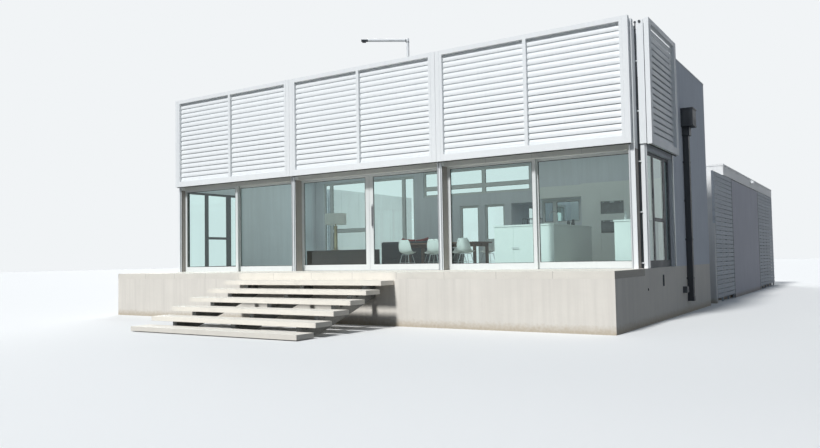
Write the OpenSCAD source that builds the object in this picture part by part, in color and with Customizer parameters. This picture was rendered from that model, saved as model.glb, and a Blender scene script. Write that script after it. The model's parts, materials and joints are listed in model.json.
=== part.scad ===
// Beach house: a raised, glazed pavilion behind louvred screens that slide up and down its posts,
// a front terrace with floating slab steps, and a long low rear wing joined by a short link.
// Local places are measured from the middle of the front, at the screens' outer face and deck level.

/* [Front] */
// Width of one glazed bay, post centre to post centre
bay = 4840; // [4400:10:5400]
// Width of each post
post_w = 136; // [110:2:170]
// Depth of each post
post_d = 280; // [240:5:300]
// From the screens' outer face back to the posts' front face
post_setback = 149; // [140:1:170]
// From the posts' front face out to the edge of the floor slab
sill_out = 39; // [36:1:60]
// Clear height of the front openings
opening_h = 2600; // [2400:10:2650]

/* [Levels] */
// Height of one step
riser = 182; // [150:1:190]
// Underside of the raised screens above the deck
screen_lift = 2700; // [2690:5:2900]
// Roof surface above the deck
roof_z = 4200; // [3700:10:4600]
// Side parapets above the roof
parapet_h = 1090; // [600:10:1150]

/* [Walls] */
// Thickness of the outer walls
wall_t = 200; // [150:5:260]
// From the end of the screens out to the side walls' outer face
side_out = 166; // [150:1:200]
// From the screens' outer face back to the rear face of the main block
block_d = 7100; // [6600:10:8200]
// Thickness of the floor slab
floor_t = 180; // [120:10:260]
// Thickness of the roof slab
roof_t = 300; // [200:10:400]
// Depth of the wall over the front openings
head_wall_t = 200; // [150:5:260]
// Rear edge of the glazed opening in each side wall
side_open_y = 2820; // [2700:10:3200]
// Width of the front light in each side opening
side_light_w = 800; // [600:10:900]
// Width of the glazed leaf behind it
side_leaf_w = 950; // [800:10:1000]
// Top of the leaf's middle rail above the deck
side_rail_z = 1130; // [900:10:1300]
// Head of the side openings above the deck
side_open_h = 2600; // [2300:10:2650]
// Width of the side sashes' stiles
side_stile = 62; // [40:1:90]

/* [Terrace and steps] */
// Depth of the terrace in front of the screens
terrace_d = 1970; // [1200:10:2600]
// Thickness of the terrace slab
terrace_t = 150; // [100:5:200]
// Going from one tread to the next
going = 556; // [520:1:640]
// Depth of one tread
tread_d = 500; // [420:5:510]
// Thickness of one tread
tread_t = 100; // [70:2:120]
// Gap between the terrace and the top tread
tread_gap = 20; // [10:1:40]
// Width of each sloping beam under the treads
beam_w = 130; // [80:5:200]
// Length of the stub that carries a tread
stub_l = 150; // [80:5:240]
// Gap between a tread's rear lower edge and the sloping beams
beam_gap = 20; // [10:1:60]
// Depth of a sloping beam, measured upright
beam_d = 260; // [180:5:320]

/* [Screens] */
// Height of one louvred screen
screen_h = 2776; // [2600:2:2800]
// Depth of a screen's frame
screen_d = 104; // [92:2:108]
// Height of a screen's top rail
screen_top = 110; // [90:1:160]
// Height of a screen's bottom rail
screen_foot = 165; // [90:1:180]
// Width of the cover strip down each outer edge of a screen
strip_w = 120; // [80:5:140]
// Width of the joint between a cover strip and its stile
strip_joint = 8; // [4:1:12]
// Width of a screen's end stiles with their cover strips
screen_stile = 195; // [160:1:240]
// Width of a front screen's middle stile
screen_mid = 84; // [70:1:140]
// Clearance between neighbouring screens
screen_gap = 6; // [5:1:20]
// Height from one blade to the next
blade_pitch = 145.5; // [140:0.5:147]
// Thickness of a blade
blade_t = 12; // [9:1:14]
// Radius of a blade's rounded front
blade_r = 195; // [185:5:260]
// Depth from a blade's front to its tail
blade_d = 44; // [40:1:48]
// From the front screens back to the front edge of the side screens
side_screen_y = 410; // [400:5:460]
// Length of a side screen
side_screen_l = 2510; // [2500:10:3000]
// From the side wall out to the side screen's outer face
side_screen_out = 168; // [160:1:200]
// Width of a guide rail
rail_w = 40; // [30:1:50]
// Depth of a guide rail
rail_d = 30; // [20:1:35]
// Height of a sliding shoe
shoe_h = 180; // [100:5:260]

/* [Sashes] */
// Thickness of a sash
sash_t = 40; // [36:1:44]
// Width of a sash's stiles
sash_stile = 90; // [60:1:110]
// Height of a sash's bottom rail
sash_foot = 150; // [90:1:180]
// Height of a sash's top rail
sash_head = 60; // [40:1:90]
// Width of the middle doors' meeting stiles
door_stile = 125; // [90:1:140]
// Gap between the closed middle doors
door_gap = 6; // [5:1:12]
// Clearance between the middle doors and the leaves in front of them
leaf_gap = 45; // [10:1:60]
// Height of the pull handle
handle_h = 540; // [300:10:700]
// Height of the handle's middle above the deck
handle_z = 1465; // [1100:5:1500]
// Height of the floor track under the doors
track_h = 12; // [8:1:20]
// Thickness of the glass
glass_t = 24; // [12:1:30]

/* [Roof gear] */
// Side of the square downpipe
pipe_w = 150; // [100:5:180]
// Length of the rainwater head along the wall
head_l = 420; // [300:10:600]
// Projection of the rainwater head
head_out = 300; // [200:10:400]
// Height of the rainwater head
head_h = 640; // [400:10:800]
// Diameter of the roof mast
mast_dia = 90; // [60:2:120]
// Height of the mast's arm above the roof
mast_h = 2850; // [2400:10:3200]
// Length of the mast's arm
mast_arm = 1420; // [800:10:2000]
// Depth of the socket in the roof that holds the mast's foot
mast_foot = 120; // [60:5:180]
// From the house's middle line to the mast, on the left
mast_x = 340; // [0:10:1200]
// From the screens' outer face back to the mast
mast_y = 3100; // [2400:10:4200]

/* [Rear wing] */
// Front face of the wing's roofed part behind the screens
wing_y = 9900; // [9600:10:10600]
// Length of the wing's roofed part
wing_l = 12400; // [10800:10:14000]
// Width of the wing
wing_w = 6400; // [6320:10:7000]
// Wall top of the wing above the deck
wing_h = 2850; // [2600:10:3000]
// Number of windows on the wing's yard side
wing_window_n = 3; // [1:1:5]
// Width of a window on the wing's yard side
wing_window_w = 1800; // [900:10:2100]
// Sill of the wing's windows above the deck
wing_window_foot = 900; // [600:10:1200]
// Thickness of the wing's roof
wing_roof_t = 350; // [200:10:400]
// From the wing's wall top down to the top of the slatted screens
fence_drop = 20; // [10:5:60]
// Thickness of a slatted screen
fence_t = 80; // [60:2:100]
// Gap between the wing's wall and the slatted screens
fence_gap = 60; // [40:2:100]
// Front end of the first slatted screen behind the front screens
fence_y = 8250; // [7700:10:8400]
// Length of the first slatted screen
fence_l = 3130; // [2800:10:3800]
// Length of the smooth panel between the slatted screens
panel_l = 6220; // [5000:10:6400]
// Gap round the smooth panel
panel_gap = 14; // [8:1:24]
// Height of one board with its gap
slat_pitch = 140; // [110:1:180]
// Gap between two boards
slat_gap = 16; // [8:1:24]
// Thickness of a board
slat_t = 28; // [18:1:36]
// Width of the battens behind the boards
batten_w = 70; // [50:2:100]
// Most distance between two battens
batten_step = 1100; // [800:20:1400]
// Height of the low yard wall above the deck
court_h = 1220; // [800:10:1500]
// Length of the yard wall behind the left rear corner
left_wall_l = 6900; // [3000:10:8000]
// Length of the slatted stretch at the front of that wall
left_slats_l = 850; // [600:10:1200]

/* [Back wall] */
// From the left room wall to the rear glazing's left jamb
rear_in = 400; // [200:10:800]
// Width of the narrow light at the left of the rear glazing
rear_side_w = 350; // [300:10:600]
// Width of the narrow light at its right
rear_end_w = 500; // [300:10:700]
// Top of the transom in the rear glazing
rear_rail_z = 1490; // [1200:10:1700]
// From the house's middle line to the rear glazing's right jamb
rear_x = 2590; // [2400:10:3000]
// Head of the rear glazing above the deck
rear_h = 3300; // [2600:10:3600]
// Width of the rear sashes' members
rear_stile = 65; // [40:1:90]
// Left jamb of the strip window, left of the middle line
strip_left = 2200; // [1600:10:2300]
// Right jamb of the strip window, right of the middle line
strip_right = 1960; // [1600:10:3000]
// Mullion of the strip window, right of the middle line
strip_mid = 210; // [0:10:600]
// Sill of the strip window above the deck
strip_foot = 2490; // [2450:10:2600]
// Transom of the strip window above the deck
strip_rail_z = 2790; // [2720:10:3000]
// Head of the strip window above the deck
strip_head = 3400; // [3200:10:3600]
// Left side of the doorway to the link
link_x = 1250; // [1200:10:1300]
// Width of the doorway to the link
link_w = 760; // [700:10:800]
// Height of the doorway to the link
door_h = 2100; // [1950:10:2300]
// Height of the link's roof above the deck
link_h = 2400; // [2350:10:2600]
// Sill of the link's side windows above the deck
link_sill = 200; // [100:10:900]
// Width of one glazed yard door
yard_door_w = 750; // [650:10:850]
// From the house's middle line out to the first yard door's left jamb
yard_door_x = 720; // [650:10:900]
// From the first yard door's left jamb to the second one's
yard_door_step = 970; // [900:10:1050]
// Left jamb of the kitchen window
kit_x = 2350; // [2300:10:2500]
// Width of the kitchen window
kit_w = 1300; // [1000:10:1350]
// Width of the kitchen window's first light
kit_light_w = 420; // [350:10:600]
// Sill of the kitchen window above the deck
kit_foot = 1360; // [1300:10:1500]
// Head of the kitchen window above the deck
kit_head = 2120; // [2000:10:2140]

/* [Kitchen] */
// Height of the benches
bench_h = 1100; // [900:10:1150]
// From the house's middle line to the island's left side
island_x = 3360; // [3200:10:3600]
// Width of the island
island_w = 1600; // [900:10:1700]
// Front of the island behind the screens
island_y = 1250; // [900:10:1600]
// Length of the island from front to back
island_l = 2800; // [2000:10:2850]
// Width of the side bench
side_bench_w = 606; // [500:2:700]
// Front of the side bench behind the screens
side_bench_y = 900; // [800:10:1200]
// Length of the side bench
side_bench_l = 1500; // [1000:10:1800]
// Width of the tall units along the back wall
tall_w = 3326; // [3000:2:3500]
// Depth of the tall units
tall_d = 620; // [580:5:650]
// Height of the tall units
tall_h = 2530; // [2300:10:2700]
// Width of the low bench and cupboards beside the tall units
low_w = 1550; // [1300:10:1600]
// Height of the low bench
low_h = 930; // [880:5:950]
// Underside of the wall cupboards above the deck
cup_foot = 2160; // [2150:5:2250]
// Depth of the wall cupboards
cup_d = 350; // [300:5:380]
// Height of the plinth under the cabinets
kick_h = 100; // [80:5:150]
// Thickness of the bench tops
bench_top_t = 40; // [20:2:60]
// Width of an oven's front
oven_w = 700; // [590:5:750]
// Height of an oven's front
oven_h = 380; // [350:5:450]
// From the tall units' left side to the ovens
oven_in = 610; // [300:10:900]

/* [Furniture] */
// Left end of the dining table, right of the middle line
table_x = 250; // [150:10:400]
// Length of the dining table
table_l = 2300; // [1800:10:2400]
// Front edge of the dining table behind the screens
table_y = 1800; // [1600:10:2000]
// Width of the dining table
table_w = 950; // [800:10:1000]
// Height of the dining table
table_h = 730; // [700:5:760]
// Width of a chair's seat
chair_w = 460; // [400:5:520]
// Height of a chair's seat
chair_seat_h = 440; // [420:5:480]
// Height of a chair's back
chair_h = 820; // [760:5:880]
// Distance from one chair to the next
chair_step = 930; // [650:5:950]
// Length of the sofa
sofa_l = 2500; // [1800:10:2600]
// Depth of the sofa
sofa_d = 900; // [800:10:1000]
// Height of the sofa's back
sofa_h = 840; // [750:10:900]
// Front side of the sofa's back behind the screens
sofa_y = 3500; // [3400:10:3560]
// Length of the sideboard
sideboard_l = 2400; // [1800:10:2500]
// Depth of the sideboard
sideboard_d = 600; // [450:10:700]
// Height of the sideboard
sideboard_h = 600; // [500:10:700]
// Diameter of the lamp's shade
shade_dia = 680; // [500:10:700]
// Height of the lamp's shade
shade_h = 340; // [250:10:400]
// Height of the lamp above the sideboard
lamp_h = 1150; // [1000:10:1200]

/* [Hidden] */
$fn = 48;
tread_n = 6;
bay_n = 3;
seat = 0.3;
// Vent pocket and overflow hole in the plinth's right side
vent_y = 1625;
vent_w = 110;
vent_z = -420;
vent_h = 240;
vent_d = 40;
spout_y = 350;
spout_z = -450;
spout_dia = 60;
// Guide rods in the corner slots, with their brackets and pulleys
rod_dia = 28;
rod_in = 120;
bracket_step = 1105;
bracket_n = 5;
bracket_foot = 105;
bracket_h = 26;
cover_t = 30;
cover_side = 4;
pulley_dia = 56;
pulley_t = 20;
joint_d = 6;
half = bay_n * bay / 2;
wall_x = half + side_out;
room_x = wall_x - wall_t;
bed = 18;
deck_z = tread_n * riser + tread_t + bed;
post_y = post_setback;
post_back = post_y + post_d;
sill_y = post_y - sill_out;
post_inset = 40;
post_xs = [for (i = [0 : bay_n]) (i - bay_n / 2) * bay + (i == 0 ? 1 : i == bay_n ? -1 : 0) * post_inset];
screen_z = screen_lift;
screen_top_z = screen_lift + screen_h;
head_front = post_y + 150;
head_back = post_back + head_wall_t;
parapet_z = roof_z + parapet_h;
stair_l = tread_gap + tread_d + (tread_n - 1) * going;
wing_end = wing_y + wing_l;
front_y = -(wing_end - terrace_d - stair_l) / 2;
corner_y = side_screen_y;
corner_d = 140;
corner_w = 86;
side_x = wall_x + side_screen_out;
fixed_front_y = 300;
middle_y = post_back - 24;
door_y = middle_y + sash_t + leaf_gap;
blade_n = floor((screen_h - screen_top - screen_foot) / blade_pitch);
side_y0 = corner_y + corner_d;
side_mid_y = side_y0 + side_light_w;
side_leaf_y = side_mid_y + side_leaf_w;
rod_x = wall_x - rod_in;
rod_y = corner_y - 12;
rod_top = screen_top_z - 75;
blade_lap = 6;
blade_nose = 35;
glazing_x = room_x + 120;
inner_wall_y = block_d - wall_t;
rear_sash_y = inner_wall_y + 60;
rear_x0 = -room_x + rear_in;
rear_x1 = -rear_x;
rear_mid_x = (rear_x0 + rear_side_w + rear_x1 - rear_end_w) / 2;
yard_xs = [-yard_door_x, yard_door_step - yard_door_x];
court_y = fence_y - wall_t - 30;
link_glass_y0 = court_y + wall_t + 180;
link_glass_y1 = wing_y - 400;
bench_x1 = room_x - 60;

// Moves a piece from deck coordinates to the ground-level origin under the middle of the whole house
module site() {
    translate([0, front_y, deck_z]) children();
}

// A block between two corners
module block(x0, x1, y0, y1, z0, z1) {
    translate([x0, y0, z0]) cube([x1 - x0, y1 - y0, z1 - z0]);
}

// The same piece on the right and on the left
module both_sides() {
    children();
    mirror([1, 0, 0]) children();
}

// A frame with four members round one pane
module frame(x0, x1, z0, z1, y, t, left, right, foot, head) {
    translate([0, y + t, 0]) rotate([90, 0, 0]) linear_extrude(t) difference() {
        translate([x0, z0]) square([x1 - x0, z1 - z0]);
        translate([x0 + left, z0 + foot]) square([x1 - x0 - left - right, z1 - z0 - foot - head]);
    }
}

module pane(x0, x1, z0, z1, y, t, left, right, foot, head) {
    block(x0 + left, x1 - right, y + (t - glass_t) / 2, y + (t + glass_t) / 2, z0 + foot, z1 - head);
}

module plinth_walls() color("#ded9cf") site() difference() {
    block(-wall_x, wall_x, sill_y, block_d, -deck_z, -floor_t);
    block(-room_x, room_x, sill_y + wall_t, block_d - wall_t, -deck_z - 1, -floor_t + 1);
    block(wall_x - vent_d, wall_x + 1, vent_y, vent_y + vent_w, vent_z, vent_z + vent_h);
    translate([wall_x - vent_d, spout_y, spout_z]) rotate([0, 90, 0]) cylinder(d = spout_dia, h = vent_d + 1);
}

module floor_slab() color("#cfcac0") site() block(-wall_x, wall_x, sill_y, block_d, -floor_t, 0);

module terrace_walls() color("#ded9cf") site() difference() {
    block(-wall_x, wall_x, -terrace_d, sill_y, -deck_z, -terrace_t);
    block(-room_x, room_x, -terrace_d + wall_t, sill_y + 1, -deck_z - 1, -terrace_t + 1);
}

module terrace_slab() color("#e4e0d6") site() block(-wall_x, wall_x, -terrace_d, sill_y, -terrace_t, 0);

function tread_front(k) = -terrace_d - tread_gap - tread_d - (k - 1) * going;
function tread_top(k) = -k * riser;

module stair_treads() color("#e9e5db") site() for (k = [1 : tread_n])
    block(-bay / 2, bay / 2, tread_front(k), tread_front(k) + tread_d, tread_top(k) - tread_t, tread_top(k));

// The beams' side outline: a sloping bar from the terrace wall to a foot plate, with a stub under each tread
module beam_outline() {
    slope = riser / going;
    low_y = tread_front(tread_n) + tread_d / 2 - stub_l;
    top_y = -terrace_d;
    top_z = tread_top(1) - tread_t - beam_gap + tread_gap * slope;
    low_z = top_z - (top_y - low_y) * slope;
    stub_h = ceil(beam_gap + (tread_d + stub_l) / 2 * slope);
    intersection() {
        union() {
            polygon([[low_y, low_z], [top_y, top_z], [top_y, top_z - beam_d], [low_y, low_z - beam_d]]);
            for (k = [1 : tread_n])
                translate([tread_front(k) + (tread_d - stub_l) / 2, tread_top(k) - tread_t - stub_h])
                    square([stub_l, stub_h]);
            translate([low_y + stub_l / 2, -deck_z])
                square([(tread_d + stub_l) / 2 + beam_gap / slope, bed]);
        }
        translate([low_y - bay, -deck_z]) square([2 * bay, deck_z]);
    }
}

module stair_beams() color("#8d8d88") site() for (x = [-0.38 * bay, 0, 0.38 * bay])
    translate([x - beam_w / 2, 0, 0]) rotate([90, 0, 90]) linear_extrude(beam_w) beam_outline();

module front_posts() color("#f2f2f0") site() for (x = post_xs)
    block(x - post_w / 2, x + post_w / 2, post_y, post_back, 0, screen_top_z - 160);

module post_cap_beam() color("#f2f2f0") site()
    block(post_xs[0] - post_w / 2, post_xs[bay_n] + post_w / 2, post_y, post_y + 140,
        screen_top_z - 160, screen_top_z - 40);

// Rear corner posts with brackets for the guide rods, and a wide cover beside the raised side screens
module corner_posts() color("#f4f4f2") site() both_sides() {
    block(wall_x - corner_w, wall_x, corner_y, side_y0, 0, screen_top_z - 40);
    block(wall_x - corner_w - cover_side, side_x - screen_d - 8, corner_y - cover_t, corner_y,
        screen_z + 10, screen_top_z - 40);
    for (k = [0 : bracket_n - 1]) difference() {
        block(post_xs[bay_n] + post_w / 2, wall_x - corner_w + 10, rod_y - 22, rod_y + 20,
            bracket_z(k), bracket_z(k) + bracket_h);
        guide_rod(rod_dia + 2 * seat);
    }
}

function bracket_z(k) = bracket_foot + k * bracket_step;

module guide_rod(d) translate([rod_x, rod_y, 0]) cylinder(d = d, h = rod_top);

module pulley(x, y) translate([x, y, rod_top]) rotate([90, 0, 0]) difference() {
    cylinder(d = pulley_dia, h = pulley_t);
    rotate_extrude() translate([pulley_dia / 2, pulley_t / 2]) circle(d = 10);
}

// Guide rods, each with a pulley on its head and one more on the cover beside it
module corner_rods() color("#3f4347") site() both_sides() {
    guide_rod(rod_dia);
    pulley(rod_x, rod_y + pulley_t / 2);
    pulley(wall_x - 20, corner_y - cover_t);
}

module corner_infills() color("#4b4d4e") site() both_sides()
    block(room_x, wall_x - corner_w, post_back, corner_y + corner_d, 0, roof_z);

module header_panels() color("#c9cbca") site() for (i = [0 : bay_n - 1])
    block(post_xs[i] + post_w / 2, post_xs[i + 1] - post_w / 2, head_front, post_back, opening_h, roof_z);

module front_upper_wall() color("#c9cbca") site()
    block(-room_x, room_x, post_back, head_back, opening_h, roof_z);

module side_wall() difference() {
    block(room_x, wall_x, corner_y + corner_d, block_d, 0, parapet_z);
    block(room_x - 1, wall_x + 1, corner_y + corner_d - 1, side_open_y, -1, side_open_h);
}

module side_wall_right() color("#b9bcbf") site() side_wall();
module side_wall_left() color("#b9bcbf") site() mirror([1, 0, 0]) side_wall();

module back_wall() color("#b9bcbf") site() difference() {
    block(-room_x, room_x, block_d - wall_t, block_d, 0, parapet_z);
    block(rear_x0, rear_x1, block_d - wall_t - 1, block_d + 1, -1, rear_h);
    block(-strip_left, strip_right, block_d - wall_t - 1, block_d + 1, strip_foot, strip_head);
    block(kit_x, kit_x + kit_w, block_d - wall_t - 1, block_d + 1, kit_foot, kit_head);
    for (x = yard_xs)
        block(x, x + yard_door_w, block_d - wall_t - 1, block_d + 1, -1, door_h);
    block(link_x, link_x + link_w, block_d - wall_t - 1, block_d + 1, -1, door_h);
}

module roof_slab() color("#c2c2be") site() difference() {
    block(-room_x, room_x, head_back, block_d - wall_t, roof_z - roof_t, roof_z);
    translate([-mast_x, mast_y, roof_z - mast_foot]) cylinder(d = mast_dia + 2 * seat, h = mast_foot + 1);
}

// Rails on the posts' faces and on the side walls, for the screens' shoes
module guide_rails() color("#e8e8e6") site() {
    for (i = [0 : bay_n]) for (s = [-1, 1])
        if ((i > 0 || s > 0) && (i < bay_n || s < 0))
            block(post_xs[i] + s * 40 - rail_w / 4, post_xs[i] + s * 40 + rail_w / 4,
                post_y - rail_d, post_y, 0, screen_top_z - 60);
    both_sides() for (y = [corner_y + 60, corner_y + side_screen_l - 60])
        block(wall_x, wall_x + rail_d, y - rail_w / 2, y + rail_w / 2, 0, parapet_z - 20);
}

module door_track() color("#9a9c9c") site()
    block(-room_x, room_x, door_y - 8, door_y + sash_t + 8, 0, track_h);

// A blade's section from its lower edge: a bowed strip that tucks in at the foot, leans back at the
// head and has a rolled lower edge
module blade_outline() {
    intersection() {
        translate([blade_r, blade_nose]) difference() {
            circle(r = blade_r, $fn = 96);
            circle(r = blade_r - blade_t, $fn = 96);
        }
        square([blade_d, blade_pitch + blade_lap]);
    }
    translate([blade_r - sqrt(pow(blade_r - blade_t / 2, 2) - pow(blade_nose, 2)), blade_t / 2])
        circle(d = blade_t + 2);
}

// One field of blades between two stiles, in front view coordinates
module blades(x0, x1) for (i = [0 : blade_n - 1])
    translate([x0, screen_d + 6 - blade_d, screen_foot + 4 + i * blade_pitch])
        rotate([90, 0, 90]) linear_extrude(x1 - x0) blade_outline();

// A screen's frame, from its left bottom front corner, with a cover strip jointed to each end stile
module screen_frame(w, mids) difference() {
    translate([0, screen_d, 0]) rotate([90, 0, 0]) linear_extrude(screen_d) difference() {
        square([w, screen_h]);
        for (f = fields(w, mids))
            translate([f[0], screen_foot]) square([f[1] - f[0], screen_h - screen_foot - screen_top]);
    }
    for (x = [strip_w, w - strip_w - strip_joint])
        translate([x, -1, -1]) cube([strip_joint, joint_d + 1, screen_h + 2]);
}

function fields(w, mids) = mids == 0
    ? [[screen_stile, w - screen_stile]]
    : [[screen_stile, w / 2 - screen_mid / 2], [w / 2 + screen_mid / 2, w - screen_stile]];

module shoes(xs, reach) for (x = xs) for (z = [screen_foot, screen_h - screen_top - shoe_h])
    translate([x - rail_w / 2, screen_d, z]) cube([rail_w, reach, shoe_h]);

screen_w = bay - screen_gap;

module front_screen(i) color("#f7f8f8") site()
    translate([-half + (i - 1) * bay + screen_gap / 2, 0, screen_z]) {
        screen_frame(screen_w, 1);
        shoes([post_xs[i - 1] + 40 + half - (i - 1) * bay - screen_gap / 2,
            post_xs[i] - 40 + half - (i - 1) * bay - screen_gap / 2], post_y - rail_d - screen_d - seat);
    }

module screen_blades(i) color("#f4f6f7") site()
    translate([-half + (i - 1) * bay + screen_gap / 2, 0, screen_z])
        for (f = fields(screen_w, 1)) blades(f[0], f[1]);

module beside_wall() translate([side_x, side_screen_y, screen_z]) rotate([0, 0, 90]) children();

module side_frame() beside_wall() {
    screen_frame(side_screen_l, 0);
    shoes([60, side_screen_l - 60], side_screen_out - rail_d - screen_d - seat);
}

module side_blades() beside_wall() for (f = fields(side_screen_l, 0)) blades(f[0], f[1]);

module side_screen_right() color("#f7f8f8") site() side_frame();
module side_blades_right() color("#f4f6f7") site() side_blades();
module side_screen_left() color("#f7f8f8") site() mirror([1, 0, 0]) side_frame();
module side_blades_left() color("#f4f6f7") site() mirror([1, 0, 0]) side_blades();

// Fixed sashes of the outer bays: [left, right, front, foot]
fixed_set = [
    [post_xs[0] + post_w / 2, -bay + 40, fixed_front_y, 0],
    [-bay - 40, post_xs[1] - post_w / 2, middle_y, 0],
    [post_xs[2] + post_w / 2, bay + 40, middle_y, 0],
    [bay - 20, room_x, door_y, track_h]];

module fixed_sashes() color("#f1f1ef") site() for (s = fixed_set)
    frame(s[0], s[1], s[3], opening_h, s[2], sash_t, sash_stile, sash_stile, sash_foot, sash_head);

door_x0 = door_gap / 2;
door_x1 = bay / 2 - 10;
door_z0 = track_h + seat;
door_z1 = opening_h - 5;

module door_frame() frame(door_x0, door_x1, door_z0, door_z1, door_y, sash_t,
    door_stile, sash_stile, sash_foot, sash_head);
module door_pane() pane(door_x0, door_x1, door_z0, door_z1, door_y, sash_t,
    door_stile, sash_stile, sash_foot, sash_head);

module door_right() color("#f1f1ef") site() door_frame();
module door_right_glass() color([0.7, 0.78, 0.76, 0.4]) site() door_pane();
module door_left() color("#f1f1ef") site() mirror([1, 0, 0]) door_frame();
module door_left_glass() color([0.7, 0.78, 0.76, 0.4]) site() mirror([1, 0, 0]) door_pane();

// A flat pull on two pins, on the right door's meeting stile
module door_handle() color("#3f4347") site() {
    bar_w = 20;
    bar_out = leaf_gap - 9;
    bar_x = door_x0 + door_stile - bar_w;
    block(bar_x - bar_w, bar_x, door_y - bar_out, door_y - bar_out + 12, handle_z - handle_h / 2,
        handle_z + handle_h / 2);
    for (z = [-0.38, 0.38])
        translate([bar_x - bar_w / 2, door_y, handle_z + z * handle_h]) rotate([90, 0, 0])
            cylinder(d = 14, h = bar_out - 6);
}

module turned(x) translate([x, 0, 0]) rotate([0, 0, 90]) children();

// Sashes as [left, right, foot, head, stile]. Beside the house: a fixed light, a glazed leaf in two
// fields and a narrow light
side_rail = side_rail_z - side_stile / 2;
side_set = [
    [side_y0, side_mid_y, 0, side_open_h, side_stile],
    [side_mid_y, side_leaf_y, 0, side_rail, side_stile],
    [side_mid_y, side_leaf_y, side_rail, side_open_h, side_stile],
    [side_leaf_y, side_open_y, 0, side_open_h, 2 * side_stile]];

module side_sashes() color("#8f9393") site() both_sides() turned(glazing_x) for (s = side_set)
    frame(s[0], s[1], s[2], s[3], 0, sash_t, s[4], s[4], s[2] == 0 ? sash_foot : side_stile / 2,
        s[3] == side_rail ? side_stile / 2 : sash_head);

// In the back wall: four lights, one with a transom, the strip window in two rows, the yard doors
// and the kitchen window
rear_rail = rear_rail_z - rear_stile;
rear_set = [
    [rear_x0, rear_x0 + rear_side_w, 0, rear_h],
    [rear_x0 + rear_side_w, rear_mid_x, 0, rear_rail],
    [rear_x0 + rear_side_w, rear_mid_x, rear_rail, rear_h],
    [rear_mid_x, rear_x1 - rear_end_w, 0, rear_h],
    [rear_x1 - rear_end_w, rear_x1, 0, rear_h],
    for (z = [[strip_foot, strip_rail_z], [strip_rail_z, strip_head]])
        for (x = [[-strip_left, strip_mid], [strip_mid, strip_right]])
            [x[0], x[1], z[0], z[1]],
    for (x = yard_xs) [x, x + yard_door_w, 0, door_h],
    [kit_x, kit_x + kit_light_w, kit_foot, kit_head],
    [kit_x + kit_light_w, kit_x + kit_w, kit_foot, kit_head]];

// Windows in the link's sides and in the wing's yard side
link_xs = [link_x - wall_t / 2, link_x + link_w + wall_t / 2 + sash_t];
wing_ys = [for (k = [0 : wing_window_n - 1]) wing_y + (k + 0.5) * wing_l / wing_window_n - wing_window_w / 2];

module rear_sashes() color("#f1f1ef") site() {
    for (s = rear_set)
        frame(s[0], s[1], s[2], s[3], rear_sash_y, sash_t, rear_stile, rear_stile, rear_stile, rear_stile);
    for (x = link_xs) turned(x)
        frame(link_glass_y0, link_glass_y1, link_sill, door_h, 0, sash_t, rear_stile, rear_stile,
            rear_stile, rear_stile);
    for (y = wing_ys) turned(wing_x0 + wall_t / 2)
        frame(y, y + wing_window_w, wing_window_foot, door_h, 0, sash_t, rear_stile, rear_stile,
            rear_stile, rear_stile);
}

// Every pane that doesn't move
module fixed_glass() color([0.7, 0.78, 0.76, 0.4]) site() {
    for (s = fixed_set)
        pane(s[0], s[1], s[3], opening_h, s[2], sash_t, sash_stile, sash_stile, sash_foot, sash_head);
    both_sides() turned(glazing_x) for (s = side_set)
        pane(s[0], s[1], s[2], s[3], 0, sash_t, s[4], s[4], s[2] == 0 ? sash_foot : side_stile / 2,
            s[3] == side_rail ? side_stile / 2 : sash_head);
    for (s = rear_set)
        pane(s[0], s[1], s[2], s[3], rear_sash_y, sash_t, rear_stile, rear_stile, rear_stile, rear_stile);
    for (x = link_xs) turned(x)
        pane(link_glass_y0, link_glass_y1, link_sill, door_h, 0, sash_t, rear_stile, rear_stile,
            rear_stile, rear_stile);
    for (y = wing_ys) turned(wing_x0 + wall_t / 2)
        pane(y, y + wing_window_w, wing_window_foot, door_h, 0, sash_t, rear_stile, rear_stile,
            rear_stile, rear_stile);
}

pipe_y = 4120;
head_y = pipe_y + pipe_w / 2 - head_l / 2;
head_z = roof_z - 530;
funnel_h = 150;
strap_h = 40;
strap_out = 12;

// Square pipe with straps, a funnel and a rainwater head with a lip
module downpipe() color("#3f4347") site() {
    block(wall_x, wall_x + pipe_w, pipe_y, pipe_y + pipe_w, -deck_z + 300, head_z - funnel_h + 10);
    block(wall_x, wall_x + head_out, head_y, head_y + head_l, head_z, head_z + head_h);
    block(wall_x, wall_x + head_out + strap_out, head_y - strap_out, head_y + head_l + strap_out,
        head_z + head_h - strap_h, head_z + head_h);
    hull() {
        block(wall_x, wall_x + pipe_w, pipe_y, pipe_y + pipe_w, head_z - funnel_h, head_z - funnel_h + 1);
        block(wall_x, wall_x + head_out, head_y, head_y + head_l, head_z - 1, head_z);
    }
    for (z = [-0.5, 0.5, 1.5, 2.5, 3.3])
        block(wall_x, wall_x + pipe_w + strap_out, pipe_y - strap_out, pipe_y + pipe_w + strap_out,
            z * 1000, z * 1000 + strap_h);
}

mast_tilt = 35;

module roof_mast() color("#eceeee") site() translate([-mast_x, mast_y, roof_z]) {
    translate([0, 0, -mast_foot]) cylinder(d = mast_dia, h = mast_foot + mast_h);
    translate([0, 0, mast_h - mast_dia / 2]) rotate([0, -90, mast_tilt]) cylinder(d = mast_dia, h = mast_arm);
}

socket_d = 90;
socket_w = 220;
socket_h = 160;
socket_y = 3600;
socket_drop = 680;
eave_lamp_d = 110;
eave_lamp_w = 300;
eave_lamp_h = 100;
eave_lamp_y = 15760;
eave_lamp_rise = 170;

// Small boxes on the outside: a socket box on the plinth and a lamp on the wing's fascia
module wall_fittings() color("#d9dbdb") site() {
    block(wall_x, wall_x + socket_d, socket_y, socket_y + socket_w, -socket_drop, socket_h - socket_drop);
    block(wall_x, wall_x + eave_lamp_d, eave_lamp_y, eave_lamp_y + eave_lamp_w,
        wing_h + eave_lamp_rise, wing_h + eave_lamp_rise + eave_lamp_h);
}

top_lip = 15;
kick_in = 50;
shadow = 8;

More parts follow.
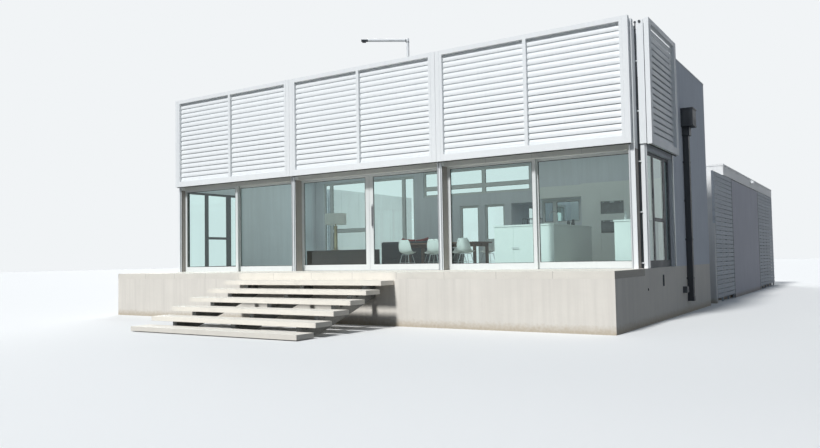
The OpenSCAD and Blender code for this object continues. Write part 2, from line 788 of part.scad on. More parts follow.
// A cabinet with a recessed plinth, a top with a lip and doors that stop short of the top
module cabinet(x0, x1, y0, y1, h) {
    block(x0 + kick_in, x1 - kick_in, y0 + kick_in, y1 - kick_in, 0, kick_h);
    block(x0, x1, y0, y1, kick_h, h - bench_top_t - shadow);
    block(x0 + shadow, x1 - shadow, y0 + shadow, y1 - shadow, h - bench_top_t - shadow, h - bench_top_t);
    block(x0 - top_lip, x1 + top_lip, y0 - top_lip, y1 + top_lip, h - bench_top_t, h);
}

module kitchen_island() color("#e6ecea") site() difference() {
    cabinet(island_x, island_x + island_w, island_y, island_y + island_l, bench_h);
    for (k = [1, 2])
        block(island_x + k * island_w / 3 - 2, island_x + k * island_w / 3 + 2, island_y - 1,
            island_y + joint_d, kick_h, bench_h - bench_top_t - shadow);
}

module kitchen_bench() color("#e6ecea") site() {
    cabinet(bench_x1 - side_bench_w, bench_x1, side_bench_y, side_bench_y + side_bench_l, bench_h);
    cabinet(tall_x - low_w, tall_x - top_lip - seat, tall_y, inner_wall_y - top_lip, low_h);
}

tall_x = room_x - tall_w;
tall_y = inner_wall_y - tall_d;
oven_x = tall_x + oven_in;
oven_foot = 980;
oven_gap = 200;
oven_zs = [oven_foot, oven_foot + oven_h + oven_gap];
oven_d = 30;
tall_door_w = 650;

// Tall units with pockets for the ovens and joints between the doors, and the cupboards beside them
module tall_units() color("#dfe3e2") site() difference() {
    union() {
        block(tall_x, room_x, tall_y + kick_in, inner_wall_y, 0, kick_h);
        block(tall_x, room_x, tall_y, inner_wall_y, kick_h, tall_h);
        block(tall_x - low_w, tall_x + 10, inner_wall_y - cup_d, inner_wall_y, cup_foot, tall_h);
    }
    for (z = oven_zs)
        block(oven_x, oven_x + oven_w, tall_y - 1, tall_y + oven_d, z, z + oven_h);
    for (x = [oven_x - 4, for (k = [0 : 2]) oven_x + oven_w + k * tall_door_w])
        block(x, x + 4, tall_y - 1, tall_y + joint_d, kick_h, tall_h);
}

// Two built-in ovens, each with a bar handle
module ovens() color("#3a3d40") site() for (z = oven_zs) {
    block(oven_x + seat, oven_x + oven_w - seat, tall_y - 6, tall_y + oven_d, z, z + oven_h - 2);
    translate([oven_x + 60, tall_y - 45, z + oven_h - 70]) rotate([0, 90, 0])
        cylinder(d = 16, h = oven_w - 120);
    for (x = [oven_x + 90, oven_x + oven_w - 110])
        block(x, x + 20, tall_y - 45, tall_y - 6, z + oven_h - 76, z + oven_h - 64);
}

table_leg = 70;
table_top_t = 36;
table_y1 = table_y + table_w;

module dining_table() color("#6d5646") site() {
    block(table_x, table_x + table_l, table_y, table_y1, table_h - table_top_t, table_h);
    for (x = [table_x + table_leg, table_x + table_l - 2 * table_leg])
        for (y = [table_y + table_leg, table_y1 - 2 * table_leg])
            block(x, x + table_leg, y, y + table_leg, 0, table_h - table_top_t);
    block(table_x + table_leg, table_x + table_l - table_leg, table_y + table_w / 2 - 20,
        table_y + table_w / 2 + 20, table_h - table_top_t - 90, table_h - table_top_t);
    for (x = [table_x + 1.5 * table_leg - 20, table_x + table_l - 1.5 * table_leg - 20])
        block(x, x + 40, table_y + table_leg, table_y1 - table_leg, table_h - table_top_t - 90,
            table_h - table_top_t);
}

shell_t = 12;
leg_dia = 16;
leg_splay = 8;
leg_l = (chair_seat_h - shell_t / 2) / cos(leg_splay) - leg_dia / 2 * sin(leg_splay);
chair_gap = 180;

// A shell chair facing +Y, from the middle of its seat: a round seat, a bowed back and four splayed legs
module chair() {
    translate([0, 0, chair_seat_h - shell_t]) cylinder(d = chair_w, h = shell_t);
    intersection() {
        translate([0, 0, chair_seat_h - shell_t]) difference() {
            cylinder(d = chair_w, h = chair_h - chair_seat_h + shell_t);
            translate([0, 0, -1]) cylinder(d = chair_w - 2 * shell_t, h = chair_h);
        }
        translate([-chair_w, -chair_w, 0]) cube([2 * chair_w, chair_w * 0.92, chair_h + 1]);
    }
    for (a = [45 : 90 : 315]) rotate(a) translate([chair_w * 0.36, 0, chair_seat_h - shell_t / 2])
        rotate([0, 180 - leg_splay, 0]) cylinder(d = leg_dia, h = leg_l);
}

// Three chairs on each long side of the table
module dining_chairs() color("#eef0ef") site() for (k = [-1 : 1])
    translate([table_x + table_l / 2 + k * chair_step, 0, 0]) {
        translate([0, table_y - chair_gap, 0]) chair();
        translate([0, table_y1 + chair_gap, 0]) rotate(180) chair();
    }

sofa_x = -500;
sofa_arm = 180;
sofa_back = 220;
sofa_seat_h = 300;
cushion_t = 150;
cushion_gap = 5;
cushion_w = (sofa_l - 2 * sofa_arm - 4 * cushion_gap) / 3;

// Sofa with its back to the front glazing: base, back and two arms on low feet
module sofa() color("#4a4d52") site() translate([sofa_x - sofa_l / 2, sofa_y, 0]) {
    for (x = [60, sofa_l - 120]) for (y = [60, sofa_d - 120]) block(x, x + 60, y, y + 60, 0, 80);
    block(0, sofa_l, 0, sofa_d, 80, sofa_seat_h);
    block(0, sofa_l, 0, sofa_back, 80, sofa_h);
    for (x = [0, sofa_l - sofa_arm]) block(x, x + sofa_arm, 0, sofa_d, 80, sofa_h - 240);
}

function cushion_x(k) = sofa_arm + cushion_gap + k * (cushion_w + cushion_gap);

// Three seat cushions
module sofa_cushions() color("#b4473f") site() translate([sofa_x - sofa_l / 2, sofa_y, 0])
    for (k = [0 : 2])
        block(cushion_x(k), cushion_x(k) + cushion_w, sofa_back + cushion_gap, sofa_d,
            sofa_seat_h + seat, sofa_seat_h + cushion_t);

sideboard_x = -3700;
sideboard_y = 2200;

module sideboard() color("#4d3a32") site()
    translate([sideboard_x, sideboard_y, 0]) difference() {
        union() {
            block(0, sideboard_l, 0, sideboard_d, kick_h, sideboard_h);
            block(60, sideboard_l - 60, 60, sideboard_d - 60, 0, kick_h);
        }
        for (k = [1 : 3]) for (y = [-1, sideboard_d - joint_d])
            block(k * sideboard_l / 4 - 2, k * sideboard_l / 4 + 2, y, y + joint_d + 1,
                kick_h, sideboard_h - 30);
    }

lamp_in = 940;
lamp_x = sideboard_x + lamp_in;
shade_t = 6;

// Table lamp: round base, stem with a ball, and a drum shade on a spider
module table_lamp() color("#e9ece6") site()
    translate([lamp_x, sideboard_y + sideboard_d / 2, sideboard_h]) {
        cylinder(d = 200, h = 24);
        cylinder(d = 36, h = lamp_h - 60);
        translate([0, 0, lamp_h - shade_h]) difference() {
            cylinder(d = shade_dia, h = shade_h);
            translate([0, 0, -1]) cylinder(d = shade_dia - 2 * shade_t, h = shade_h + 2);
        }
        for (a = [0, 90]) rotate(a)
            translate([-shade_dia / 2 + shade_t / 2, -5, lamp_h - 90]) cube([shade_dia - shade_t, 10, 8]);
    }

wing_x1 = wall_x - fence_t - fence_gap;
wing_x0 = wing_x1 - wing_w;
fence_x = wing_x1 + fence_gap;
fence_z = wing_h - fence_drop;
panel_y = fence_y + fence_l;
panel_end = panel_y + panel_l;

module wing_base() color("#cfcac0") site() difference() {
    block(wing_x0, wing_x1, wing_y, wing_end, -deck_z, -floor_t);
    block(wing_x0 + wall_t, wing_x1 - wall_t, wing_y + wall_t, wing_end - wall_t, -deck_z - 1, -floor_t + 1);
}

module wing_floor() color("#cfcac0") site() block(wing_x0, wing_x1, wing_y, wing_end, -floor_t, 0);

module wing_end_walls() color("#eeeeec") site() difference() {
    block(wing_x0 + wall_t, wing_x1 - wall_t, wing_y, wing_end, 0, wing_h);
    block(wing_x0, wing_x1, wing_y + wall_t, wing_end - wall_t, -1, wing_h + 1);
    block(link_x, link_x + link_w, wing_y - 1, wing_y + wall_t + 1, -1, door_h);
}

module wing_walls() color("#eeeeec") site() difference() {
    block(wing_x0, wing_x1, wing_y, wing_end, 0, wing_h);
    block(wing_x0 + wall_t, wing_x1 - wall_t, wing_y - 1, wing_end + 1, -1, wing_h + 1);
    for (y = wing_ys)
        block(wing_x0 - 1, wing_x0 + wall_t + 1, y, y + wing_window_w, wing_window_foot, door_h);
}

module wing_roof() color("#f2f2f0") site()
    block(wing_x0 - fence_t - fence_gap, wall_x, wing_y, wing_end, wing_h, wing_h + wing_roof_t);

yard_slab_w = 1200;

// Yard walls: a low one beside the link, and a tall one behind the left rear corner in jointed slabs
module court_wall() color("#f2f2f0") site() {
    block(link_x + link_w + wall_t, wall_x, court_y, court_y + wall_t, -deck_z, court_h);
    difference() {
        block(-wall_x, -room_x, block_d + left_slats_l, block_d + left_wall_l, -deck_z, wing_h + wing_roof_t);
        for (y = [block_d + left_slats_l + yard_slab_w / 2 : yard_slab_w : block_d + left_wall_l - 100])
            block(-room_x - joint_d, -room_x + 1, y, y + 12, -deck_z - 1, wing_h + wing_roof_t + 1);
    }
}

// Boards laid flat on battens from y0 to y1, with their faces towards +X. The battens run on to batten_y0
// and batten_y1 and up to batten_z
module slatted(y0, y1, z1, batten_y0, batten_y1, batten_z) {
    reach = batten_y1 - batten_y0 - batten_w;
    spans = ceil(reach / batten_step);
    for (z = [z1 : -slat_pitch : -deck_z + slat_pitch])
        block(wall_x - slat_t, wall_x, y0, y1, z - slat_pitch + slat_gap, z);
    for (k = [0 : spans])
        translate([fence_x, batten_y0 + k * reach / spans, -deck_z])
            cube([wall_x - slat_t + 4 - fence_x, batten_w, batten_z + deck_z]);
}

module slat_screens() color("#c9cdd0") site() {
    slatted(fence_y, panel_y - panel_gap, fence_z, fence_y, panel_y, wing_h);
    slatted(panel_end + panel_gap, wing_end, fence_z, panel_end, wing_end, wing_h);
    mirror([1, 0, 0]) slatted(block_d, block_d + left_slats_l, wing_h + wing_roof_t,
        block_d, block_d + left_slats_l, wing_h + wing_roof_t);
}

module smooth_panels() color("#b3b1b3") site()
    block(fence_x, wall_x, panel_y, panel_end, -deck_z, fence_z - panel_gap);

// Covered way from the back wall to the wing, with a window in each side
module link() color("#c2c2be") site() difference() {
    block(link_x - wall_t, link_x + link_w + wall_t, block_d, wing_y, -deck_z, link_h);
    block(link_x, link_x + link_w, block_d - 1, wing_y + 1, 0, door_h);
    block(link_x - wall_t - 1, link_x + link_w + wall_t + 1, link_glass_y0, link_glass_y1, link_sill, door_h);
}

plinth_walls();
floor_slab();
terrace_walls();
terrace_slab();
stair_treads();
stair_beams();
front_posts();
corner_posts();
corner_infills();
header_panels();
front_upper_wall();
post_cap_beam();
side_wall_right();
side_wall_left();
back_wall();
roof_slab();
guide_rails();
door_track();
front_screen(1);  // front_screen_1
screen_blades(1);  // screen_blades_1
front_screen(2);  // front_screen_2
screen_blades(2);  // screen_blades_2
front_screen(3);  // front_screen_3
screen_blades(3);  // screen_blades_3
side_screen_right();
side_blades_right();
side_screen_left();
side_blades_left();
fixed_sashes();
fixed_glass();
door_left();
door_left_glass();
door_right();
door_right_glass();
side_sashes();
rear_sashes();
downpipe();
roof_mast();
corner_rods();
door_handle();
wall_fittings();
kitchen_island();
kitchen_bench();
tall_units();
ovens();
dining_table();
dining_chairs();
sofa();
sofa_cushions();
sideboard();
table_lamp();
wing_base();
wing_floor();
wing_walls();
wing_end_walls();
wing_roof();
court_wall();
slat_screens();
smooth_panels();
link();
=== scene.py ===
"""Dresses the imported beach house: finishes for every CAD piece, and the fine pieces that lie on them."""
import json
import math

import bmesh
import bpy
from bpy.props import FloatProperty, FloatVectorProperty, IntProperty, PointerProperty
from mathutils import Matrix, Vector


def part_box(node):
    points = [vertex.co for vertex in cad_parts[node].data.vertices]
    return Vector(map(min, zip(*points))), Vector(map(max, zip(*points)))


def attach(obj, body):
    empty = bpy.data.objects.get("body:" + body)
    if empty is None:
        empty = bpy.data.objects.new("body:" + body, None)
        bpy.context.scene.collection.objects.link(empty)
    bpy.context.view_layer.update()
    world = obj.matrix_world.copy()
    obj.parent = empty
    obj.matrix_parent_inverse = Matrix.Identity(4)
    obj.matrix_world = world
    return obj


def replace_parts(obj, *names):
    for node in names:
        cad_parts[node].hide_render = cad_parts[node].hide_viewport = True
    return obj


bl_info = {
    "name": "Beach house dresser",
    "version": (1, 0, 0),
    "blender": (4, 5, 0),
    "location": "3D View > Sidebar > House",
    "description": "Gives the beach house its finishes, glazing beads, linings and fittings",
    "category": "Object",
}

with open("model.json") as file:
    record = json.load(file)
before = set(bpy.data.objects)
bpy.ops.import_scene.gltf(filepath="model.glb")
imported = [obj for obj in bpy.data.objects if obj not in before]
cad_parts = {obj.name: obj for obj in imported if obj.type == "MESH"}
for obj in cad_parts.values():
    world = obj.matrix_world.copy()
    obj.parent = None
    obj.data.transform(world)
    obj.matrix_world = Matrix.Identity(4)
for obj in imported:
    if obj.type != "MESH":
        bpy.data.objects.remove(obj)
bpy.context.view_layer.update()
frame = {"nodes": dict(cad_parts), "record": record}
NODES = frame["nodes"]

# Driving places, read from the frame: the deck, and the inner faces of the side walls and the back wall
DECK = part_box("floor_slab")[1][2]
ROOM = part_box("front_upper_wall")[1][0]
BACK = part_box("back_wall")[0][1]
MM = 0.001


def linear(code):
    """An sRGB hex colour as linear red, green, blue and alpha."""
    parts = [int(code[i:i + 2], 16) / 255 for i in (1, 3, 5)]
    return [c / 12.92 if c <= 0.04045 else ((c + 0.055) / 1.055) ** 2.4 for c in parts] + [1.0]


def colour(name, text, code):
    """A colour property with its default from a hex code."""
    return FloatVectorProperty(name=name, description=text, subtype="COLOR", size=4, min=0.0, max=1.0,
                               default=linear(code))


def length(name, text, default, low, high):
    """A length property in metres."""
    return FloatProperty(name=name, description=text, default=default, min=low, max=high, unit="LENGTH")


class HouseColours(bpy.types.PropertyGroup):
    plinth: colour("Plinth", "Painted render of the plinth", "#F1ECE2")
    concrete: colour("Concrete", "Terrace slab and treads", "#F0EBE0")
    steel: colour("Stair steel", "Galvanised beams under the treads", "#9A9C9B")
    white: colour("White coat", "Powder coat of screens and posts", "#EFF2F3")
    sash: colour("Sashes", "Powder coat of the front sashes", "#DEE2E1")
    # Painted shade: this darker tone stands in for the shade on the front posts' side faces
    jamb: colour("Jambs", "Bronze-grey liners on the posts", "#A29D97")
    charcoal: colour("Charcoal coat", "Downpipe, rods and corner infills", "#3B4046")
    header: colour("Header", "Sheet over the front openings", "#E3E5E2")
    wall: colour("Walls", "Painted render of the block", "#E2E7ED")
    roof: colour("Roof", "Mineral roof membrane", "#A9AAA8")
    aluminium: colour("Aluminium", "Anodised tracks and rails", "#C3C7CA")
    grey_coat: colour("Grey coat", "Powder coat of the side sashes", "#4E5459")
    pale_render: colour("Pale render", "Wing and yard walls", "#F1F1EF")
    fascia: colour("Fascia", "Wing's folded roof edge", "#F2F3F2")
    boards: colour("Boards", "Painted boards of the slatted screens", "#D5DADF")
    panel: colour("Panel", "Smooth panel between the slatted screens", "#E2E1E7")
    glass: colour("Glass", "Tint of one face of the panes", "#F5FCFB")
    cabinet: colour("Cabinets", "Satin lacquer of the kitchen", "#F0F4F2")
    # Partly painted reflection: dark glass, its tone lightened to stand in for the surroundings it mirrors
    oven_glass_and_reflection: colour("Oven glass", "Dark glass of the ovens", "#44494E")
    table: colour("Table", "Oiled timber of the table", "#6B5142")
    sideboard: colour("Sideboard", "Stained veneer of the sideboard", "#33251F")
    chairs: colour("Chairs", "Moulded chair shells", "#F1F3F1")
    sofa: colour("Sofa", "Wool of the sofa", "#41454C")
    cushions: colour("Cushions", "Woven cloth of the cushions", "#A63A36")
    shade: colour("Lamp shade", "Linen of the lamp's shade", "#FBFBF6")
    brass: colour("Lamp stem", "Brushed brass of the lamp's stem", "#B9AE8F")
    tiles: colour("Floor tiles", "Stone tiles of the room", "#A9A79E")
    ground: colour("Ground", "Studio floor and backdrop", "#ECEDEC")


class HouseSizes(bpy.types.PropertyGroup):
    bead: length("Glazing bead", "Width of the dark bead round each pane", 0.010, 0.004, 0.02)
    tile: length("Tile", "Side of one floor tile", 0.6, 0.2, 1.2)
    tile_joint: length("Tile joint", "Width of the joints between the tiles", 0.004, 0.002, 0.01)
    tile_rise: length("Tile thickness", "Height of the tiles over the slab", 0.008, 0.004, 0.011)
    coping: length("Coping overhang", "How far the copings reach past the walls", 0.012, 0.005, 0.016)
    coping_rise: length("Coping height", "Height of the folded copings", 0.018, 0.01, 0.019)
    rivet: length("Rivet", "Width of the rivet heads on the screens", 0.014, 0.008, 0.02)
    brush: length("Brush seal", "Height of the brush under each screen", 0.018, 0.008, 0.02)
    ceiling_panel: length("Ceiling panel", "Side of one panel of the ceiling", 1.8, 0.6, 2.4)
    voxel: length("Cushion mesh", "Cell size of the simulated cushions", 0.016, 0.008, 0.04)
    swell_frames: IntProperty(name="Swelling", description="Frames over which the cushions fill",
                              default=14, min=4, max=30)


# Materials

def put(tree, kind, settings, out=0):
    """Adds a shader node. Each setting is a property, or a socket by name or number, which takes a value
    or another node's output. Gives back one output of the node."""
    made = tree.nodes.new("ShaderNode" + kind)
    for key, value in settings.items():
        if isinstance(key, str) and hasattr(made, key):
            setattr(made, key, value)
        elif isinstance(value, bpy.types.NodeSocket):
            tree.links.new(value, made.inputs[key])
        else:
            made.inputs[key].default_value = value
    return made.outputs[out] if len(made.outputs) else made


def per_metre(size_mm):
    """The scale at which a pattern repeats about every size_mm."""
    return 1000.0 / size_mm


def darker(tone, share):
    """A colour with a share of its light taken away."""
    return [c * (1 - share) for c in tone[:3]] + [1.0]


def begin(name):
    """A new material: itself, its tree and the Object coordinates."""
    made = bpy.data.materials.new(name)
    made.use_nodes = True
    tree = made.node_tree
    tree.nodes.clear()
    return made, tree, put(tree, "TexCoord", {}, "Object")


def close(made, base, heights, edge_mm=0.0, **fixed):
    """Ends a material and gives it back: base colour, bump from (height, depth in mm) pairs, edges rounded
    by edge_mm, and the shader's other values."""
    tree = made.node_tree
    settings = {"Base Color": base}
    settings.update({key.replace("_", " "): value for key, value in fixed.items()})
    normal = put(tree, "Bevel", {"samples": 4, "Radius": edge_mm * MM}) if edge_mm else None
    for height, depth_mm in heights:
        bump = {"Height": height, "Distance": depth_mm * MM}
        if normal is not None:
            bump["Normal"] = normal
        normal = put(tree, "Bump", bump)
    if normal is not None:
        settings["Normal"] = normal
    put(tree, "OutputMaterial", {"Surface": put(tree, "BsdfPrincipled", settings)})
    return made


def clouds(tree, at, size_mm, tones, low=0.3, high=0.7, stretch=(1, 1, 1), detail=4.0):
    """Soft patches of two tones about size_mm across, drawn out where stretch is small."""
    at = put(tree, "Mapping", {"Scale": stretch, "Vector": at})
    noise = put(tree, "TexNoise", {"Scale": per_metre(size_mm), "Detail": detail, "Roughness": 0.6,
                                   "Vector": at})
    share = put(tree, "MapRange", {"From Min": low, "From Max": high, "Value": noise})
    return put(tree, "Mix", {"data_type": "RGBA", 0: share, 6: tones[0], 7: tones[1]}, 2)


def grit(tree, at, size_mm, detail=3.0, stretch=(1, 1, 1)):
    """Heights of a grain about size_mm wide, drawn out where stretch is small."""
    at = put(tree, "Mapping", {"Scale": stretch, "Vector": at})
    return put(tree, "TexNoise", {"Scale": per_metre(size_mm), "Detail": detail, "Roughness": 0.55,
                                  "Vector": at})


def joints(tree, at, axis, step_mm, width_mm):
    """0 in narrow lines that cross axis every step_mm, and 1 between them."""
    # A whole number of steps, which keeps the count above zero and leaves the lines where they are
    shift = 500
    line = put(tree, "SeparateXYZ", {"Vector": at}, axis)
    line = put(tree, "Math", {"operation": "MULTIPLY_ADD", 0: line, 1: per_metre(step_mm), 2: shift})
    line = put(tree, "Math", {"operation": "FRACT", 0: line})
    width = width_mm / step_mm
    return put(tree, "MapRange", {"Value": line, "From Min": width * 0.6, "From Max": width})


def render_coat(name, tone, stain, splash=True):
    """Painted cement render, floated by hand: broad soft patches, sand of about 3 mm drawn at 9 mm so
    that it shows, rain streaks down the wall and soil splashed along its foot."""
    made, tree, at = begin(name)
    base = clouds(tree, at, 900, (darker(tone, stain * 0.5), tone), 0.35, 0.65)
    base = clouds(tree, at, 140, (base, darker(tone, stain)), 0.42, 0.75, (1, 1, 0.05), 6.0)
    if splash:
        level = put(tree, "SeparateXYZ", {"Vector": at}, "Z")
        level = put(tree, "MapRange", {"Value": level, "From Min": 0.02, "From Max": 0.34})
        ragged = put(tree, "Math", {"operation": "MULTIPLY_ADD", 0: grit(tree, at, 60), 1: 0.5, 2: level})
        soil = [c * share for c, share in zip(tone, (0.70, 0.64, 0.55))] + [1.0]
        ragged = put(tree, "MapRange", {"Value": ragged, "From Min": 0.25, "From Max": 0.75})
        base = put(tree, "Mix", {"data_type": "RGBA", 0: ragged, 6: soil, 7: base}, 2)
    sand, float_marks = grit(tree, at, 9, 5.0), grit(tree, at, 180, stretch=(1, 1, 2.2))
    return close(made, base, [(sand, 0.9), (float_marks, 2.2)], 5.0, Roughness=0.85)


def cast_concrete(name, tone, step_mm=0, rough=0.62):
    """Pale precast concrete with a honed face: cloudy cement, small dark air holes of 6 to 10 mm, a
    slightly worn arris, and a sawn joint at every step_mm."""
    made, tree, at = begin(name)
    cell = put(tree, "TexVoronoi", {"Scale": per_metre(55), "Vector": at})
    hole = put(tree, "MapRange", {"Value": cell, "From Min": 0.05, "From Max": 0.09})
    base = put(tree, "Mix", {"data_type": "RGBA", 0: hole, 6: darker(tone, 0.45),
                             7: clouds(tree, at, 420, (darker(tone, 0.09), tone))}, 2)
    heights = [(hole, 2.0), (grit(tree, at, 12), 0.6)]
    if step_mm:
        sawn = joints(tree, at, "X", step_mm, 6)
        base = put(tree, "Mix", {"data_type": "RGBA", 0: sawn, 6: darker(tone, 0.6), 7: base}, 2)
        heights.append((sawn, 4.0))
    return close(made, base, heights, 6.0, Roughness=rough)


def galvanised(name, tone):
    """Hot-dip galvanised steel gone dull: spangle of about 18 mm in two greys."""
    made, tree, at = begin(name)
    spangle = put(tree, "TexVoronoi", {"Scale": per_metre(18), "Vector": at}, "Color")
    share = put(tree, "SeparateColor", {"Color": spangle})
    base = put(tree, "Mix", {"data_type": "RGBA", 0: share, 6: darker(tone, 0.3), 7: tone}, 2)
    return close(made, base, [(grit(tree, at, 30), 0.5)], 4.0, Roughness=0.5, Metallic=0.75)


def powder_coat(name, tone, rough=0.38, grime=0.10, edge_mm=2.5):
    """Polyester powder coat on aluminium: an orange-peel skin of about 2 mm drawn at 6 mm, even colour,
    and a thin film of salt and dust that runs down with the rain."""
    made, tree, at = begin(name)
    base = clouds(tree, at, 90, (tone, darker(tone, grime)), 0.45, 0.8, (1, 1, 0.08), 5.0)
    base = clouds(tree, at, 1300, (base, darker(tone, grime * 0.35)))
    film = put(tree, "MapRange", {"Value": grit(tree, at, 260), "From Min": 0.35, "From Max": 0.7,
                                  "To Min": rough, "To Max": rough + 0.18})
    return close(made, base, [(grit(tree, at, 6, 2.0), 0.12)], edge_mm, Roughness=film)


def sheet_paint(name, tone):
    """Fibre-cement sheet painted on site: a roller stipple of about 8 mm, and a butt joint every 1.2 m."""
    made, tree, at = begin(name)
    joint = joints(tree, at, "X", 1210, 5)
    base = put(tree, "Mix", {"data_type": "RGBA", 0: joint, 6: darker(tone, 0.5),
                             7: clouds(tree, at, 700, (darker(tone, 0.08), tone))}, 2)
    return close(made, base, [(grit(tree, at, 8), 0.3), (joint, 2.0)], 2.0, Roughness=0.7)


def membrane(name, tone):
    """Mineral-faced roofing felt: granules of about 2 mm drawn at 14 mm, and a lap every metre."""
    made, tree, at = begin(name)
    lap = joints(tree, at, "Y", 1000, 12)
    base = put(tree, "Mix", {"data_type": "RGBA", 0: lap, 6: darker(tone, 0.45),
                             7: clouds(tree, at, 14, (darker(tone, 0.28), tone), detail=8.0)}, 2)
    base = clouds(tree, at, 1500, (base, darker(tone, 0.2)), 0.5, 0.9)
    return close(made, base, [(grit(tree, at, 14), 1.4), (lap, 3.0)], Roughness=0.95)


def anodised(name, tone):
    """Natural anodised aluminium, drawn: hair lines that run up the rail, satin."""
    made, tree, at = begin(name)
    hair = grit(tree, at, 5, stretch=(1, 1, 0.02))
    base = put(tree, "Mix", {"data_type": "RGBA", 0: hair, 6: darker(tone, 0.18), 7: tone}, 2)
    return close(made, base, [(hair, 0.08)], 1.5, Roughness=0.34, Metallic=0.9)


def painted_boards(name, tone, pitch_mm):
    """Painted softwood boards laid flat: grain along the board, each board a slightly other tone, and
    paint worn thin along the fibre."""
    made, tree, at = begin(name)
    level = put(tree, "SeparateXYZ", {"Vector": at}, "Z")
    row = put(tree, "Math", {"operation": "MULTIPLY", 0: level, 1: per_metre(pitch_mm)})
    row = put(tree, "Math", {"operation": "FLOOR", 0: row})
    chance = put(tree, "TexWhiteNoise", {"noise_dimensions": "1D", "W": row})
    each = put(tree, "Mix", {"data_type": "RGBA", 0: chance, 6: darker(tone, 0.13), 7: tone}, 2)
    fibre = grit(tree, at, 11, 6.0, (1, 0.06, 1))
    worn = put(tree, "MapRange", {"Value": fibre, "From Min": 0.52, "From Max": 0.75})
    base = put(tree, "Mix", {"data_type": "RGBA", 0: worn, 6: each, 7: darker(tone, 0.26)}, 2)
    return close(made, base, [(fibre, 0.7)], 2.0, Roughness=0.66)


def pane_glass(name, tint):
    """Sealed double glazing with a faint green body tint. What lies behind shows through both faces, lamps
    reach the room, and the face mirrors the surroundings more at a flat angle."""
    made, tree = begin(name)[:2]
    clear = put(tree, "BsdfTransparent", {"Color": tint})
    mirror = put(tree, "BsdfAnisotropic", {"Color": linear("#EAF4F2"), "Roughness": 0.01})
    behind = put(tree, "NewGeometry", {}, "Backfacing")
    outer = put(tree, "Math", {"operation": "SUBTRACT", 0: 1.0, 1: behind})
    gloss = put(tree, "Math", {"operation": "MULTIPLY", 0: put(tree, "Fresnel", {"IOR": 1.7}), 1: outer})
    both = put(tree, "MixShader", {0: gloss, 1: clear, 2: mirror})
    put(tree, "OutputMaterial", {"Surface": both})
    return made


def lacquer(name, tone):
    """Sprayed satin lacquer on board: nearly even, with a faint spray texture of about 7 mm."""
    made, tree, at = begin(name)
    return close(made, clouds(tree, at, 800, (darker(tone, 0.04), tone)), [(grit(tree, at, 7), 0.08)], 2.0,
                 Roughness=0.28, Coat_Weight=0.2)


def veneer(name, tone, rough=0.45):
    """Straight-grained oiled timber: growth lines of about 24 mm along the piece, with darker pores."""
    made, tree, at = begin(name)
    lines = grit(tree, at, 24, 8.0, (0.07, 1, 1))
    pores = grit(tree, at, 5, 2.0, (0.07, 1, 1))
    lit = put(tree, "Mix", {"data_type": "RGBA", 0: lines, 6: darker(tone, 0.45), 7: tone}, 2)
    open_pores = put(tree, "MapRange", {"Value": pores, "From Min": 0.58, "From Max": 0.7})
    base = put(tree, "Mix", {"data_type": "RGBA", 0: open_pores, 6: lit, 7: darker(tone, 0.6)}, 2)
    return close(made, base, [(pores, 0.3)], 2.0, Roughness=rough)


def black_glass(name, tone):
    """Toughened black glass with a faint film of fingers and dust."""
    made, tree, at = begin(name)
    film = [c * 1.9 for c in tone[:3]] + [1.0]
    return close(made, clouds(tree, at, 160, (tone, film), 0.4, 0.8), [(grit(tree, at, 90), 0.1)], 1.0,
                 Roughness=0.08, Coat_Weight=0.5)


def moulded(name, tone, rough=0.42):
    """Moulded plastic with a fine spark-eroded grain of about 1 mm drawn at 4 mm."""
    made, tree, at = begin(name)
    return close(made, clouds(tree, at, 300, (darker(tone, 0.06), tone)), [(grit(tree, at, 4), 0.15)], 2.0,
                 Roughness=rough)


def weave(name, tone, thread_mm, rough=0.9, sheen=0.25, gap=0.4):
    """Plain woven cloth: threads thread_mm apart that cross, with slubs, and a soft sheen at the rim."""
    made, tree, at = begin(name)
    thread = None
    for turn in ((0, 0, 0), (0, 0, math.pi / 2), (0, math.pi / 2, 0)):
        spun = put(tree, "Mapping", {"Rotation": turn, "Vector": at})
        wave = put(tree, "TexWave", {"Scale": per_metre(thread_mm) / math.pi, "Distortion": 0.6,
                                     "Detail": 1.0, "Vector": spun}, "Fac")
        thread = wave if thread is None else put(tree, "Math", {"operation": "MAXIMUM", 0: thread, 1: wave})
    slub = clouds(tree, at, 35, (darker(tone, gap / 2), tone), 0.4, 0.7)
    base = put(tree, "Mix", {"data_type": "RGBA", 0: thread, 6: darker(tone, gap), 7: slub}, 2)
    return close(made, base, [(thread, 0.5)], Roughness=rough, Sheen_Weight=sheen)


def stone_tile(name, tone):
    """Honed limestone tiles: soft clouds and thin darker veins."""
    made, tree, at = begin(name)
    vein = put(tree, "Math", {"operation": "COMPARE", 0: grit(tree, at, 210, 8.0), 1: 0.5, 2: 0.008})
    body = clouds(tree, at, 500, (darker(tone, 0.12), tone))
    base = put(tree, "Mix", {"data_type": "RGBA", 0: vein, 6: body, 7: darker(tone, 0.25)}, 2)
    return close(made, base, [(grit(tree, at, 16), 0.2)], Roughness=0.5)


def rubber(name):
    """Black glazing rubber with a dull skin."""
    made, tree, at = begin(name)
    base = clouds(tree, at, 60, (linear("#1B1D1E"), linear("#2A2C2D")))
    return close(made, base, [(grit(tree, at, 6), 0.2)], Roughness=0.75)


